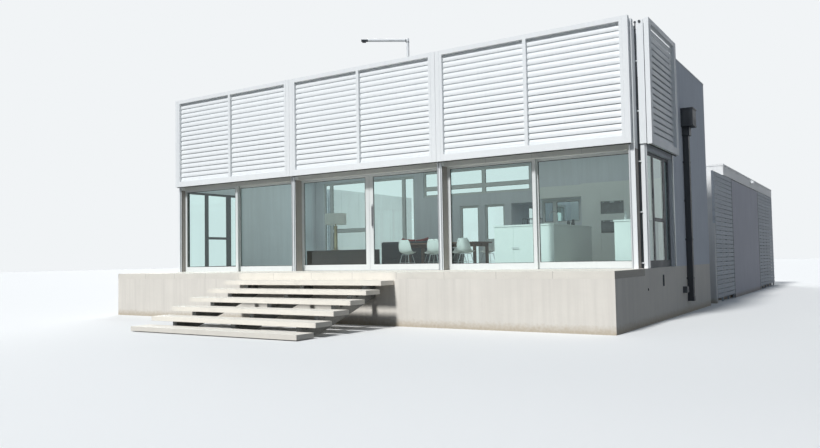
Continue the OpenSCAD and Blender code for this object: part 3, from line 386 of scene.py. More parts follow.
def finishes(c):
    """Every finish, by the slot of the record or by its own name."""
    return {
        "plinth_render": render_coat("painted_render_plinth", c.plinth, 0.12),
        "terrace_concrete": cast_concrete("honed_concrete_terrace", c.concrete, 1237),
        "tread_concrete": cast_concrete("precast_concrete_treads", c.concrete, rough=0.58),
        "stair_steel": galvanised("galvanised_beams", c.steel),
        "post_paint": powder_coat("white_powder_coat_posts", c.white),
        "dark_metal": powder_coat("charcoal_powder_coat", c.charcoal, 0.45, 0.25),
        "header_paint": sheet_paint("painted_fibre_cement_header", c.header),
        "wall_render": render_coat("painted_render_walls", c.wall, 0.10, splash=False),
        "roof_membrane": membrane("mineral_roofing_felt", c.roof),
        "track_aluminium": anodised("anodised_rails", c.aluminium),
        "screen_frame": powder_coat("white_powder_coat_frames", c.white, 0.40, 0.06),
        "screen_blade": powder_coat("white_powder_coat_blades", c.white, 0.42, 0.08, 1.5),
        "sash_white": powder_coat("white_powder_coat_sashes", c.sash, 0.36, 0.06),
        "sash_grey": powder_coat("grey_powder_coat_sashes", c.grey_coat, 0.42, 0.15),
        "window_glass": pane_glass("green_double_glazing", c.glass),
        "cabinet_lacquer": lacquer("satin_lacquer", c.cabinet),
        "white_render": render_coat("painted_render_wing", c.pale_render, 0.10),
        "fascia_paint": powder_coat("white_powder_coat_fascia", c.fascia, 0.42, 0.12),
        "slat_paint": painted_boards("painted_softwood_boards", c.boards, 140),
        "panel_paint": render_coat("smooth_render_panel", c.panel, 0.12),
        "fitting_plastic": moulded("grey_moulded_plastic", c.grey_coat),
        # Partly painted reflection: the ovens' dark glass is lightened to stand in for what it mirrors, and
        # the jars share it
        "oven_glass": black_glass("black_oven_glass", c.oven_glass_and_reflection),
        "table_timber": veneer("oiled_timber_table", c.table),
        "chair_shell": moulded("moulded_chair_shell", c.chairs, 0.35),
        "sofa_wool": weave("wool_upholstery", c.sofa, 12),
        "cushion_linen": weave("woven_cushion_cloth", c.cushions, 9),
        "sideboard_timber": veneer("stained_veneer_sideboard", c.sideboard, 0.35),
        "lamp_shade": weave("linen_lamp_shade", c.shade, 8, 0.85, 0.1, 0.1),
        "lamp_brass": anodised("brushed_brass", c.brass),
        "chrome": anodised("polished_steel", c.aluminium),
        "floor_tiles": stone_tile("honed_limestone_tiles", c.tiles),
        "rubber": rubber("glazing_rubber"),
        "opal": moulded("opal_acrylic", c.white, 0.3),
        # Painted shade: the liners' darker coat stands in for the shade in the reveals
        "jamb": powder_coat("bronze_grey_jambs", c.jamb, 0.5, 0.15),
    }


FINISH = {}


# Modelling

def block(bm, low, high, edge=0.0, steps=2):
    """Adds a box between two corners, with its edges rounded by edge."""
    low, high = Vector(low), Vector(high)
    size = Matrix.Diagonal((*(high - low), 1.0))
    made = bmesh.ops.create_cube(bm, size=1.0, matrix=Matrix.Translation((low + high) / 2) @ size)["verts"]
    if edge:
        edges = list({e for v in made for e in v.link_edges})
        bmesh.ops.bevel(bm, geom=edges, offset=edge, offset_type="OFFSET", affect="EDGES",
                        segments=steps, profile=0.5, material=-1, clamp_overlap=True)


def rod(bm, start, end, radius, sides=16, far_radius=None):
    """Adds a round bar or a cone between two points."""
    start, end = Vector(start), Vector(end)
    along = end - start
    turn = along.to_track_quat("Z", "Y").to_matrix().to_4x4()
    far = radius if far_radius is None else far_radius
    bmesh.ops.create_cone(bm, cap_ends=True, segments=sides, radius1=radius, radius2=far,
                          depth=along.length, matrix=Matrix.Translation((start + end) / 2) @ turn)


def ring_of_bars(bm, low, high, axis, width):
    """Adds a rectangular ring of four bars, seen along axis, inside the box between two corners."""
    a, b = [i for i in range(3) if i != axis]
    for first in (True, False):
        one_low, one_high, two_low, two_high = list(low), list(high), list(low), list(high)
        if first:
            one_high[a], two_high[b] = low[a] + width, low[b] + width
        else:
            one_low[a], two_low[b] = high[a] - width, high[b] - width
        two_low[a], two_high[a] = low[a] + width, high[a] - width
        block(bm, one_low, one_high)
        block(bm, two_low, two_high)


def tube(bm, start, end, outer, inner, sides=24):
    """Adds a round sleeve with an open bore between two points."""
    start, end = Vector(start), Vector(end)
    turn = (end - start).to_track_quat("Z", "Y").to_matrix().to_4x4()
    rings = []
    for radius, at in ((outer, start), (outer, end), (inner, end), (inner, start)):
        made = bmesh.ops.create_circle(bm, segments=sides, radius=radius,
                                       matrix=Matrix.Translation(at) @ turn)["verts"]
        rings.append(list({edge for vert in made for edge in vert.link_edges}))
    for index, ring in enumerate(rings):
        bmesh.ops.bridge_loops(bm, edges=ring + rings[(index + 1) % 4])


def turned(bm, profile, centre, sides=32):
    """Spins a profile of (radius, height) pairs about the upright axis through centre."""
    x, y, z = centre
    verts = [bm.verts.new((x + radius, y, z + height)) for radius, height in profile]
    edges = [bm.edges.new(pair) for pair in zip(verts, verts[1:])]
    bmesh.ops.spin(bm, geom=verts + edges, cent=centre, axis=(0, 0, 1), angle=math.tau, steps=sides,
                   use_merge=True)
    bmesh.ops.remove_doubles(bm, verts=bm.verts[:], dist=1e-6)


def bent_rod(bm, points, radius, sides=10):
    """Adds a round bar through points, with a ball at each bend."""
    for start, end in zip(points, points[1:]):
        rod(bm, start, end, radius, sides)
    for at in points[1:-1]:
        bmesh.ops.create_icosphere(bm, subdivisions=2, radius=radius, matrix=Matrix.Translation(at))


def paving(bm, low, high, slab, joint, rise):
    """Lays square slabs of about slab over the level rectangle between two corners, with open joints.
    They rise by rise, or hang down where it is negative."""
    across, along = [max(1, round((high[i] - low[i]) / slab)) for i in (0, 1)]
    size = Matrix.Diagonal(((high[0] - low[0]) / 2, (high[1] - low[1]) / 2, 1, 1))
    middle = Matrix.Translation(((low[0] + high[0]) / 2, (low[1] + high[1]) / 2, low[2]))
    made = bmesh.ops.create_grid(bm, x_segments=across, y_segments=along, size=1, matrix=middle @ size)
    faces = list({face for vert in made["verts"] for face in vert.link_faces})
    bmesh.ops.inset_individual(bm, faces=faces, thickness=joint / 2)
    raised = bmesh.ops.extrude_discrete_faces(bm, faces=faces)["faces"]
    bmesh.ops.translate(bm, vec=(0, 0, rise), verts=list({vert for face in raised for vert in face.verts}))


def stamp(bm, one, places):
    """Adds a copy of the mesh drawn in one at each place's matrix."""
    mesh = bpy.data.meshes.new("stamp")
    one.to_mesh(mesh)
    one.free()
    for place in places:
        before = len(bm.verts)
        bm.from_mesh(mesh)
        bm.verts.ensure_lookup_table()
        bmesh.ops.transform(bm, matrix=place, verts=bm.verts[before:])
    bpy.data.meshes.remove(mesh)


def piece(name, bm, slot, finish=None, smooth=False, body="root"):
    """Makes an object from what was drawn in bm, with its finish, or else the finish of its slot. It rides
    on a CAD body.
    """
    bmesh.ops.recalc_face_normals(bm, faces=bm.faces[:])
    for face in bm.faces:
        face.smooth = smooth
    mesh = bpy.data.meshes.new(name)
    bm.to_mesh(mesh)
    bm.free()
    if smooth:
        mesh.set_sharp_from_angle(angle=math.radians(35))
    made = bpy.data.objects.new(name, mesh)
    bpy.context.scene.collection.objects.link(made)
    mesh.materials.append(FINISH[finish or slot])
    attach(made, body)
    return made


def solids(node):
    """The boxes of a CAD node's separate solids, from a merged copy of its mesh."""
    bm = bmesh.new()
    bm.from_mesh(NODES[node].data)
    bmesh.ops.remove_doubles(bm, verts=bm.verts[:], dist=1e-5)
    waiting = set(bm.verts)
    boxes = []
    while waiting:
        found = [waiting.pop()]
        for vert in found:
            for edge in vert.link_edges:
                other = edge.other_vert(vert)
                if other in waiting:
                    waiting.remove(other)
                    found.append(other)
        boxes.append(([min(v.co[i] for v in found) for i in range(3)],
                      [max(v.co[i] for v in found) for i in range(3)]))
    bm.free()
    return sorted(boxes, key=lambda pair: [round(value, 3) for value in pair[0] + pair[1]])


def settle(made):
    """Applies the modifiers of an object to its mesh."""
    done = made.evaluated_get(bpy.context.evaluated_depsgraph_get())
    mesh = bpy.data.meshes.new_from_object(done)
    old, made.data = made.data, mesh
    mesh.name = made.name
    made.modifiers.clear()
    bpy.data.meshes.remove(old)


def swollen(name, size, place, slot, bulge):
    """A stuffed pad as wide, deep and high as size. It starts a little smaller, a cloth simulation fills
    its cover while no point moves further than bulge, and then it is moved to its place."""
    sizes = bpy.context.scene.house_sizes
    shrink, roundness, smoothings = bulge * 0.8, 0.55, 3
    half = Vector(size) / 2 - Vector((shrink, shrink, shrink))
    bm = bmesh.new()
    block(bm, -half, half, min(half) * roundness, 3)
    made = piece(name, bm, slot, smooth=True)
    cells = made.modifiers.new("cells", "REMESH")
    cells.mode = "VOXEL"
    cells.voxel_size = sizes.voxel
    settle(made)
    rest = [vert.co.copy() for vert in made.data.vertices]
    cloth = made.modifiers.new("swell", "CLOTH")
    cloth.settings.use_pressure = True
    cloth.settings.uniform_pressure_force = 4.0
    cloth.settings.effector_weights.gravity = 0.0
    cloth.settings.quality = 5
    cloth.settings.tension_stiffness = 12
    cloth.settings.bending_stiffness = 1.5
    cloth.point_cache.frame_end = sizes.swell_frames
    for step in range(1, sizes.swell_frames + 1):
        bpy.context.scene.frame_set(step)
    settle(made)
    bpy.context.scene.frame_set(1)
    for vert, start in zip(made.data.vertices, rest):
        moved = vert.co - start
        if moved.length > bulge:
            vert.co = start + moved * (bulge / moved.length)
    bm = bmesh.new()
    bm.from_mesh(made.data)
    for step in range(smoothings):
        bmesh.ops.smooth_vert(bm, verts=bm.verts[:], factor=0.5, use_axis_x=True, use_axis_y=True,
                              use_axis_z=True)
    # The filled pad is drawn out to just the size asked for
    reach = [max(abs(vert.co[axis]) for vert in bm.verts) for axis in range(3)]
    bmesh.ops.scale(bm, vec=[side / 2 / far for side, far in zip(size, reach)], verts=bm.verts[:])
    bmesh.ops.transform(bm, matrix=place, verts=bm.verts[:])
    for face in bm.faces:
        face.smooth = True
    bm.to_mesh(made.data)
    bm.free()
    finer = made.modifiers.new("finer", "SUBSURF")
    finer.levels = finer.render_levels = 1
    settle(made)
    return made


def welt(bm, around, level, radius):
    """Adds a piped cord of cloth round a pad's edge: around is the low and high corner of its outline."""
    (x0, y0), (x1, y1) = around
    bend, steps = 0.035, 5
    points = []
    for cx, cy, turn in ((x1 - bend, y1 - bend, 0), (x0 + bend, y1 - bend, 1), (x0 + bend, y0 + bend, 2),
                         (x1 - bend, y0 + bend, 3)):
        for k in range(steps + 1):
            angle = (turn + k / steps) * math.pi / 2
            points.append(Vector((cx + bend * math.cos(angle), cy + bend * math.sin(angle), level)))
    bent_rod(bm, points + points[:2], radius, 8)


# Operators

class HOUSE_OT_finishes(bpy.types.Operator):
    """Gives every CAD node the finish of its slot in the record"""
    bl_idname = "house.finishes"
    bl_label = "Finishes"

    def execute(self, context):
        FINISH.update(finishes(context.scene.house_colours))
        for part in frame["record"]["subparts"]:
            mesh = NODES[part["node"]].data
            mesh.materials.clear()
            mesh.materials.append(FINISH[part["material_slot"]])
        return {"FINISHED"}


class HOUSE_OT_glazing(bpy.types.Operator):
    """Lays a dark bead round each pane, on both faces"""
    bl_idname = "house.glazing"
    bl_label = "Glazing beads"

    def execute(self, context):
        proud = 0.004
        for leaf, body in (("fixed", "root"), ("door_left", "door_left"), ("door_right", "door_right")):
            bm = bmesh.new()
            for low, high in solids(leaf + "_glass"):
                axis = 0 if high[0] - low[0] < high[1] - low[1] else 1
                for face in (low[axis] - proud, high[axis]):
                    ring_low, ring_high = list(low), list(high)
                    ring_low[axis], ring_high[axis] = face, face + proud
                    ring_of_bars(bm, ring_low, ring_high, axis, context.scene.house_sizes.bead)
            piece("beads_" + leaf, bm, "dark_metal", "rubber", body=body)
        return {"FINISHED"}


class HOUSE_OT_screens(bpy.types.Operator):
    """Adds rivets to each louvred screen except the left side one, and a brush seal to each"""
    bl_idname = "house.screens"
    bl_label = "Screen fittings"

    def execute(self, context):
        sizes = context.scene.house_sizes
        from_edge, from_stile, sunk, proud = 0.16, 0.03, 0.004, 0.003
        # Each screen's frame, its blades and the body it rides on
        screens = [("front_screen_%d" % k, "screen_blades_%d" % k, "front_screen_%d" % k)
                   for k in (1, 2, 3)]
        screens += [("side_screen_right", "side_blades_right", "side_screen_right"),
                    ("side_screen_left", "side_blades_left", "root")]
        for name, blades, body in screens:
            low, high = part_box(name)
            along = 0 if high[0] - low[0] > high[1] - low[1] else 1
            across = 1 - along
            out = 1 if name == "side_screen_right" else -1
            face = (high if out > 0 else low)[across]
            lines = [low[along] + from_edge, high[along] - from_edge]
            if along == 0:
                middle = (low[0] + high[0]) / 2
                lines += [middle - from_stile, middle + from_stile]
            # The left side screen ends at the edge of the model's box, which leaves no room for rivets
            if name != "side_screen_left":
                rows = sorted({round((a[2] + b[2]) / 2, 3) for a, b in solids(blades)})
                bm = bmesh.new()
                for line in lines:
                    for z in rows:
                        start, end = [0, 0, z], [0, 0, z]
                        start[along] = end[along] = line
                        start[across], end[across] = face - out * sunk, face + out * proud
                        rod(bm, start, end, sizes.rivet / 2, 8, sizes.rivet * 0.3)
                piece("rivets_" + name, bm, "screen_frame", smooth=True, body=body)

            thin = (low[across] + high[across]) / 2
            one, two = [0, 0, low[2] - sizes.brush], [0, 0, low[2] + 0.002]
            one[along], two[along] = low[along] + 0.02, high[along] - 0.02
            one[across], two[across] = thin - 0.006, thin + 0.006
            bm = bmesh.new()
            block(bm, one, two)
            piece("brush_" + name, bm, "dark_metal", "rubber", body=body)
        return {"FINISHED"}


class HOUSE_OT_roof(bpy.types.Operator):
    """Caps the parapets, lines the ceiling and finishes the roofs' edges"""
    bl_idname = "house.roof"
    bl_label = "Roof edges and ceiling"

    def execute(self, context):
        sizes = context.scene.house_sizes
        bm = bmesh.new()
        for node, side, inner in (("side_wall_right", sizes.coping, 0), ("side_wall_left", sizes.coping, 0),
                                  ("back_wall", 0, sizes.coping)):
            low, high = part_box(node)
            block(bm, (low[0] - side, low[1] - inner, high[2] - sizes.coping_rise),
                  (high[0] + side, high[1] + sizes.coping, high[2] + 0.006), 0.002)
        piece("parapet_copings", bm, "fascia_paint")

        low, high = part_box("roof_slab")
        gap = 0.02
        bm = bmesh.new()
        paving(bm, (low[0] + gap, low[1] + gap, low[2] - 0.001), (high[0] - gap, high[1] - gap, low[2]),
               sizes.ceiling_panel, 0.008, -0.012)
        piece("ceiling_panels", bm, "cabinet_lacquer")

        # Felt dressed up the parapets over a fillet, and the bar that holds it: foot, top and width
        skin, upstand, fillet = 0.001, 0.15, 0.05
        for name, slot, rings in (
                ("roof_upstands", "roof_membrane", ((0, upstand, 0.010), (0, fillet, fillet))),
                ("roof_flashing", "track_aluminium", ((upstand, upstand + 0.03, 0.016),))):
            bm = bmesh.new()
            for base, top, width in rings:
                ring_of_bars(bm, (low[0] + skin, low[1] + skin, high[2] + base),
                             (high[0] - skin, high[1] - skin, high[2] + top), 2, width)
            piece(name, bm, slot)

        spout_low, spout_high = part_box("downpipe")
        centre = Vector((high[0] - 0.35, (spout_low[1] + spout_high[1]) / 2, high[2]))
        flange, bore, basket, basket_h, bars = 0.16, 0.09, 0.11, 0.12, 8
        bm = bmesh.new()
        tube(bm, centre, centre + Vector((0, 0, 0.02)), flange, bore, 28)
        for k in range(bars):
            turn = k * math.tau / bars
            rod(bm, centre + Vector((basket * math.cos(turn), basket * math.sin(turn), 0.015)),
                centre + Vector((0, 0, basket_h)), 0.006, 6)
        piece("roof_outlet", bm, "dark_metal")

        low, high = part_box("wing_roof")
        cap, lip, drop = 0.14, 0.012, 0.045
        bm = bmesh.new()
        for base, top, width in ((-drop, 0.010, lip), (0, 0.012, cap)):
            ring_of_bars(bm, (low[0] - lip, low[1] - lip, high[2] + base),
                         (high[0] + lip, high[1], high[2] + top), 2, width)
        piece("wing_roof_cap", bm, "fascia_paint")

        bm = bmesh.new()
        block(bm, (low[0] + cap, low[1] + cap, high[2]),
              (high[0] - cap - lip, high[1] - cap - lip, high[2] + 0.006))
        piece("wing_roof_felt", bm, "roof_membrane")
        return {"FINISHED"}


class HOUSE_OT_mast(bpy.types.Operator):
    """Fits the roof mast with a boot, a knee joint and its dark head"""
    bl_idname = "house.mast"
    bl_label = "Mast fittings"

    def execute(self, context):
        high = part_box("roof_mast")[1]
        radius, arm_l, tilt = 0.045, 1.42, math.radians(35)
        boot, boot_h, head_l = 0.14, 0.16, 0.20
        knee = Vector((high[0] - radius, high[1] - radius, high[2] - radius))
        foot = Vector((knee.x, knee.y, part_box("roof_slab")[1][2]))
        way = Vector((-math.cos(tilt), -math.sin(tilt), 0))

        def up(height):
            return Vector((0, 0, height))

        bm = bmesh.new()
        rod(bm, foot, foot + up(boot_h), boot, 28, radius + 0.004)
        tube(bm, foot + up(boot_h - 0.005), foot + up(boot_h + 0.025), radius + 0.008, radius)
        piece("mast_boot", bm, "dark_metal", "rubber", True)

        bm = bmesh.new()
        bmesh.ops.create_uvsphere(bm, u_segments=24, v_segments=12, radius=radius - 0.0005,
                                  matrix=Matrix.Translation(knee))
        piece("mast_knee", bm, "post_paint", smooth=True)

        # The arm's top is the highest level of the model, so its collar and its head hang a hair lower
        bm = bmesh.new()
        tube(bm, knee - up(0.075), knee - up(0.055), radius + 0.004, radius)
        drop = up(0.0045)
        tube(bm, knee + way * 0.055 - drop, knee + way * 0.070 - drop, radius + 0.004, radius - 0.005)
        piece("mast_collars", bm, "dark_metal", smooth=True)

        near, far = knee + way * (arm_l - head_l), knee + way * (arm_l + 0.002)
        drop, keel = up(0.0008), up(radius + 0.010)
        bm = bmesh.new()
        rod(bm, near - drop, far - drop, radius + 0.0004, 28)
        rod(bm, near + way * 0.06 - keel, far - way * 0.03 - keel, 0.022, 16)
        piece("mast_head", bm, "dark_metal", smooth=True)
        return {"FINISHED"}


class HOUSE_OT_floor(bpy.types.Operator):
    """Lays the stone tiles of the room"""
    bl_idname = "house.floor"
    bl_label = "Floor tiles"

    def execute(self, context):
        sizes = context.scene.house_sizes
        gap, track_back = 0.01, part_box("door_track")[1][1]
        bm = bmesh.new()
        paving(bm, (-ROOM + gap, track_back + gap, DECK + 0.001), (ROOM - gap, BACK - gap, DECK),
               sizes.tile, sizes.tile_joint, sizes.tile_rise)
        piece("floor_tiles", bm, "terrace_concrete", "floor_tiles")
        return {"FINISHED"}


class HOUSE_OT_rainwater(bpy.types.Operator):
    """Makes the downpipe: a hopper head, a stepped collar, a square pipe and its brackets"""
    bl_idname = "house.rainwater"
    bl_label = "Downpipe"

    def execute(self, context):
        low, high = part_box("downpipe")
        wall, middle = low[0], (low[1] + high[1]) / 2
        pipe_w, head_d = 0.15, high[0] - wall - 0.012
        pipe_half, head_half = pipe_w / 2, (high[1] - low[1]) / 2 - 0.014
        head_drop, head_h = 0.25, 0.44
        head_top = high[2] - head_drop
        head_foot = head_top - head_h
        # Head, its rim and its foot band, collar, pipe and shoe: where each starts and ends off the wall,
        # its half width, foot and top, and how its edges are rounded
        bm = bmesh.new()
        for start, end, half, foot, top, edge, steps in (
                (0, head_d, head_half, head_foot, head_top, 0.008, 2),
                (0, head_d + 0.012, head_half + 0.012, head_top - 0.04, head_top + 0.008, 0.004, 2),
                (0, head_d + 0.006, head_half + 0.006, head_foot - 0.03, head_foot + 0.012, 0.004, 2),
                (0, pipe_w + 0.035, pipe_half + 0.035, head_foot - 0.26, head_foot - 0.02, 0.006, 2),
                (0.004, pipe_w, pipe_half, low[2] + 0.05, head_foot - 0.25, 0.010, 3),
                (0.002, pipe_w + 0.006, pipe_half + 0.006, low[2], low[2] + 0.12, 0.004, 2)):
            block(bm, (wall + start, middle - half, foot), (wall + end, middle + half, top), edge, steps)
        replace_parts(piece("downpipe_run", bm, "dark_metal"), "downpipe")

        lug, bracket_levels = pipe_half + 0.030, (0.86, 1.86, 2.86, 3.86)
        bm = bmesh.new()
        for z in bracket_levels:
            block(bm, (wall, middle - pipe_half - 0.005, z),
                  (wall + pipe_w + 0.005, middle + pipe_half + 0.005, z + 0.045), 0.002)
            for side in (-1, 1):
                y, bolt = middle + side * lug, middle + side * (lug + 0.006)
                block(bm, (wall, y - 0.028, z), (wall + 0.006, y + 0.028, z + 0.045))
                rod(bm, (wall + 0.004, bolt, z + 0.022), (wall + 0.014, bolt, z + 0.022), 0.010, 6)
        piece("downpipe_brackets", bm, "dark_metal")
        return {"FINISHED"}


class HOUSE_OT_fittings(bpy.types.Operator):
    """Adds the vent grille, the overflow sleeve, the socket's lid and the eave lamp's lens"""
    bl_idname = "house.fittings"
    bl_label = "Wall fittings"

    def execute(self, context):
        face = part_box("plinth_walls")[1][0]
        vent_y, vent_w, vent_z, vent_h, rim, blade = -6.89, 0.11, 0.79, 0.24, 0.012, 0.026
        bm = bmesh.new()
        ring_of_bars(bm, (face - 0.02, vent_y - rim, vent_z - rim),
                     (face + 0.006, vent_y + vent_w + rim, vent_z + vent_h + rim), 0, 0.014)
        one = bmesh.new()
        block(one, (-0.016, 0, -0.0015), (0.016, vent_w - 0.002, 0.0015))
        turn = Matrix.Rotation(math.radians(40), 4, "Y")
        levels = [vent_z + 0.014 + k * blade for k in range(int((vent_h - 0.01) / blade))]
        stamp(bm, one, [Matrix.Translation((face - 0.014, vent_y + 0.001, z)) @ turn for z in levels])
        piece("vent_grille", bm, "dark_metal")

        sleeve_y, sleeve_z = -8.165, 0.76
        bm = bmesh.new()
        tube(bm, (face - 0.035, sleeve_y, sleeve_z), (face + 0.008, sleeve_y, sleeve_z), 0.0295, 0.025)
        piece("overflow_sleeve", bm, "dark_metal", "rubber", True)

        # The socket is the lowest of the wall's fittings and the eave lamp the highest
        boxes = sorted(solids("wall_fittings"), key=lambda box: box[0][2])
        low, high = boxes[0]
        inset = 0.008
        bm = bmesh.new()
        block(bm, (high[0], low[1] + inset, low[2] + inset),
              (high[0] + 0.012, high[1] - inset, high[2] - inset), 0.006, 3)
        for y in (low[1] + 0.03, high[1] - 0.03):
            hinge_x, hinge_z = high[0] + 0.004, high[2] - 0.006
            rod(bm, (hinge_x, y - 0.014, hinge_z), (hinge_x, y + 0.014, hinge_z), 0.006, 12)
        piece("socket_lid", bm, "fitting_plastic")

        low, high = boxes[-1]
        bm = bmesh.new()
        block(bm, (low[0] + 0.001, low[1] - 0.006, low[2] - 0.006),
              (high[0] + 0.010, high[1] + 0.006, high[2] + 0.006), 0.014, 4)
        piece("eave_lamp_lens", bm, "lamp_shade", "opal")
        return {"FINISHED"}


class HOUSE_OT_fence(bpy.types.Operator):
    """Adds the boards' fixings, and dark strips of painted shadow over and beside the smooth panel"""
    bl_idname = "house.fence"
    bl_label = "Fence fixings"

    def execute(self, context):
        pitch, board, spacing, from_end = 0.14, 0.124, 1.1, 0.05
        bm = bmesh.new()
        for low, high in solids("slat_screens"):
            out = 1 if low[0] > 0 else -1
            face = (high if out > 0 else low)[0]
            first, last = low[1] + from_end, high[1] - from_end
            between = max(1, round((last - first) / spacing))
            for row in range(int((high[2] - low[2]) / pitch)):
                z = low[2] + row * pitch + board / 2
                for k in range(between + 1):
                    y = first + k * (last - first) / between
                    rod(bm, (face - out * 0.004, y, z), (face + out * 0.004, y, z), 0.011, 8, 0.008)
        piece("board_fixings", bm, "dark_metal", smooth=True)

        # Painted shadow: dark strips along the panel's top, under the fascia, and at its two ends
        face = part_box("slat_screens")[1][0]
        low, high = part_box("smooth_panels")
        bm = bmesh.new()
        block(bm, (face - 0.03, low[1], high[2]), (face + 0.004, high[1], high[2] + 0.022))
        for y in (low[1], high[1]):
            block(bm, (face - 0.004, y - 0.012, low[2]), (face + 0.005, y + 0.012, high[2] + 0.02))
        piece("panel_shadow_strips", bm, "dark_metal")
        return {"FINISHED"}


class HOUSE_OT_jambs(bpy.types.Operator):
    """Lines each front post's sides in painted shade, with a dark strip of painted gap shadow at the front
    edge
    """
    bl_idname = "house.jambs"
    bl_label = "Post liners"

    def execute(self, context):
        posts = solids("front_posts")
        depth = posts[0][1][1] - posts[0][0][1]
        thick, seal_w = 0.003, 0.016
        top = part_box("header_panels")[0][2]
        # Painted shade: darker liners on the posts' sides, and dark strips that stand in for the shadow in
        # the gap behind the rails
        for name, slot, finish, front, back, proud in (
                ("post_shade_liners", "post_paint", "jamb", seal_w + 0.006, depth - 0.004, thick),
                ("post_gap_shadow_strips", "dark_metal", "rubber", 0.004, seal_w + 0.004, thick * 1.5)):
            bm = bmesh.new()
            for low, high in posts:
                for x in (low[0] - proud, high[0]):
                    block(bm, (x, low[1] + front, DECK + 0.001), (x + proud, low[1] + back, top - 0.002))
            piece(name, bm, slot, finish)
        return {"FINISHED"}


class HOUSE_OT_doors(bpy.types.Operator):
    """Adds the back plate, the lock and the meeting seal of the middle doors"""
    bl_idname = "house.doors"
    bl_label = "Door furniture"

    def execute(self, context):
        low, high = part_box("door_handle")
        leaf_low, leaf_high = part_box("door_right")
        front, middle, lock_z = leaf_low[1], (low[0] + high[0]) / 2, low[2] - 0.035
        beside, above = 0.014, 0.06
        bm = bmesh.new()
        block(bm, (low[0] - beside, front - 0.003, low[2] - above),
              (high[0] + beside, front, high[2] + above), 0.001)
        rod(bm, (middle, front - 0.010, lock_z), (middle, front, lock_z), 0.012, 20)
        piece("handle_plate", bm, "dark_metal", "chrome", body="door_right")

        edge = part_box("door_left")[1][0]
        bm = bmesh.new()
        block(bm, (edge - 0.002, front + 0.004, leaf_low[2] + 0.02),
              (edge + 0.0025, front + 0.012, leaf_high[2] - 0.02))
        piece("meeting_seal", bm, "dark_metal", "rubber", body="door_left")
        return {"FINISHED"}


class HOUSE_OT_kitchen(bpy.types.Operator):
    """Sets out the kitchen: a pull, tap, sink, rack, jars, a bottle and the ovens' controls"""
    bl_idname = "house.kitchen"
    bl_label = "Kitchen fittings"

    def execute(self, context):
        low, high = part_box("kitchen_island")
        front, top = low[1], high[2]
        left, right, pull_z = 3.85, 4.045, 1.73
        bm = bmesh.new()
        block(bm, (left, front - 0.024, pull_z - 0.008), (right, front - 0.016, pull_z + 0.008), 0.002)
        for x in (left + 0.03, right - 0.03):
            rod(bm, (x, front - 0.02, pull_z), (x, front + 0.002, pull_z), 0.005, 10)
        piece("island_pull", bm, "dark_metal", "chrome")

        sink = Vector((high[0] - 0.40, low[1] + 1.30, top))
        rise, reach, steps = 0.26, 0.11, 8
        arc = [sink + Vector((-reach + reach * math.cos(k * math.pi / steps), 0,
                              rise + reach * math.sin(k * math.pi / steps))) for k in range(steps + 1)]
        bm = bmesh.new()
        rod(bm, sink, sink + Vector((0, 0, 0.04)), 0.028, 24)
        bent_rod(bm, [sink] + arc + [arc[-1] - Vector((0, 0, 0.06))], 0.011, 14)
        rod(bm, sink + Vector((0, 0.02, 0.06)), sink + Vector((0, 0.09, 0.09)), 0.006, 10)
        piece("kitchen_tap", bm, "track_aluminium", "chrome", True)

        rim = 0.02
        one, two = sink + Vector((-0.50, -0.24, -0.001)), sink + Vector((-0.06, 0.24, 0.003))
        bm = bmesh.new()
        ring_of_bars(bm, one, two, 2, rim)
        block(bm, (one.x + rim, one.y + rim, top + 0.0005), (two.x - rim, two.y - rim, top + 0.0012))
        piece("sink_rim", bm, "track_aluminium", "chrome")

        corner = Vector((high[0] - 0.95, low[1] + 0.30, top))
        wide, deep, foot, tall = 0.42, 0.30, 0.02, 0.16

        def place(x, y, z):
            return corner + Vector((x, y, z))

        bm = bmesh.new()
        for z in (foot, tall):
            for y in (0, deep):
                rod(bm, place(0, y, z), place(wide, y, z), 0.006, 8)
            for x in (0, wide):
                rod(bm, place(x, 0, z), place(x, deep, z), 0.006, 8)
        for k in range(8):
            x = 0.03 + k * 0.052
            bent_rod(bm, [place(x, y, z) for y, z in ((0, tall), (0.06, foot), (0.24, foot), (deep, tall))],
                     0.003, 6)
        for x in (0, wide):
            for y in (0, deep):
                rod(bm, place(x, y, 0), place(x, y, tall), 0.006, 8)
        piece("dish_rack", bm, "dark_metal")

        # Where each jar stands from the island's corner, its radius and its height
        bm = bmesh.new()
        for x, y, radius, tall in (
                (1.28, 1.95, 0.045, 0.13), (1.40, 1.99, 0.036, 0.17), (1.34, 2.12, 0.05, 0.10)):
            turned(bm, [(0, 0), (radius, 0), (radius, tall * 0.8), (radius * 0.8, tall * 0.86),
                        (radius * 0.84, tall * 0.88), (radius * 0.84, tall), (0, tall)],
                   (low[0] + x, low[1] + y, top), 20)
        piece("kitchen_jars", bm, "fitting_plastic", "oven_glass", True)

        stand = (6.618, -6.9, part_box("kitchen_bench")[1][2])
        bm = bmesh.new()
        turned(bm, [(0, 0), (0.034, 0), (0.036, 0.01), (0.036, 0.14), (0.014, 0.19), (0.013, 0.215),
                    (0.017, 0.217), (0.017, 0.235), (0, 0.235)], stand, 24)
        piece("bench_bottle", bm, "chair_shell", smooth=True)

        low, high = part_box("ovens")
        face, middle, screen_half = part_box("tall_units")[0][1] - 0.006, (low[0] + high[0]) / 2, 0.07
        bm = bmesh.new()
        # The level of each oven's top edge
        for level in (2.568, 3.148):
            z = level - 0.028
            for x in (low[0] + 0.09, high[0] - 0.09):
                rod(bm, (x, face, z), (x, face - 0.018, z), 0.014, 20, 0.012)
            block(bm, (middle - screen_half, face - 0.002, level - 0.045),
                  (middle + screen_half, face + 0.001, level - 0.012))
        piece("oven_controls", bm, "track_aluminium", "chrome")
        return {"FINISHED"}


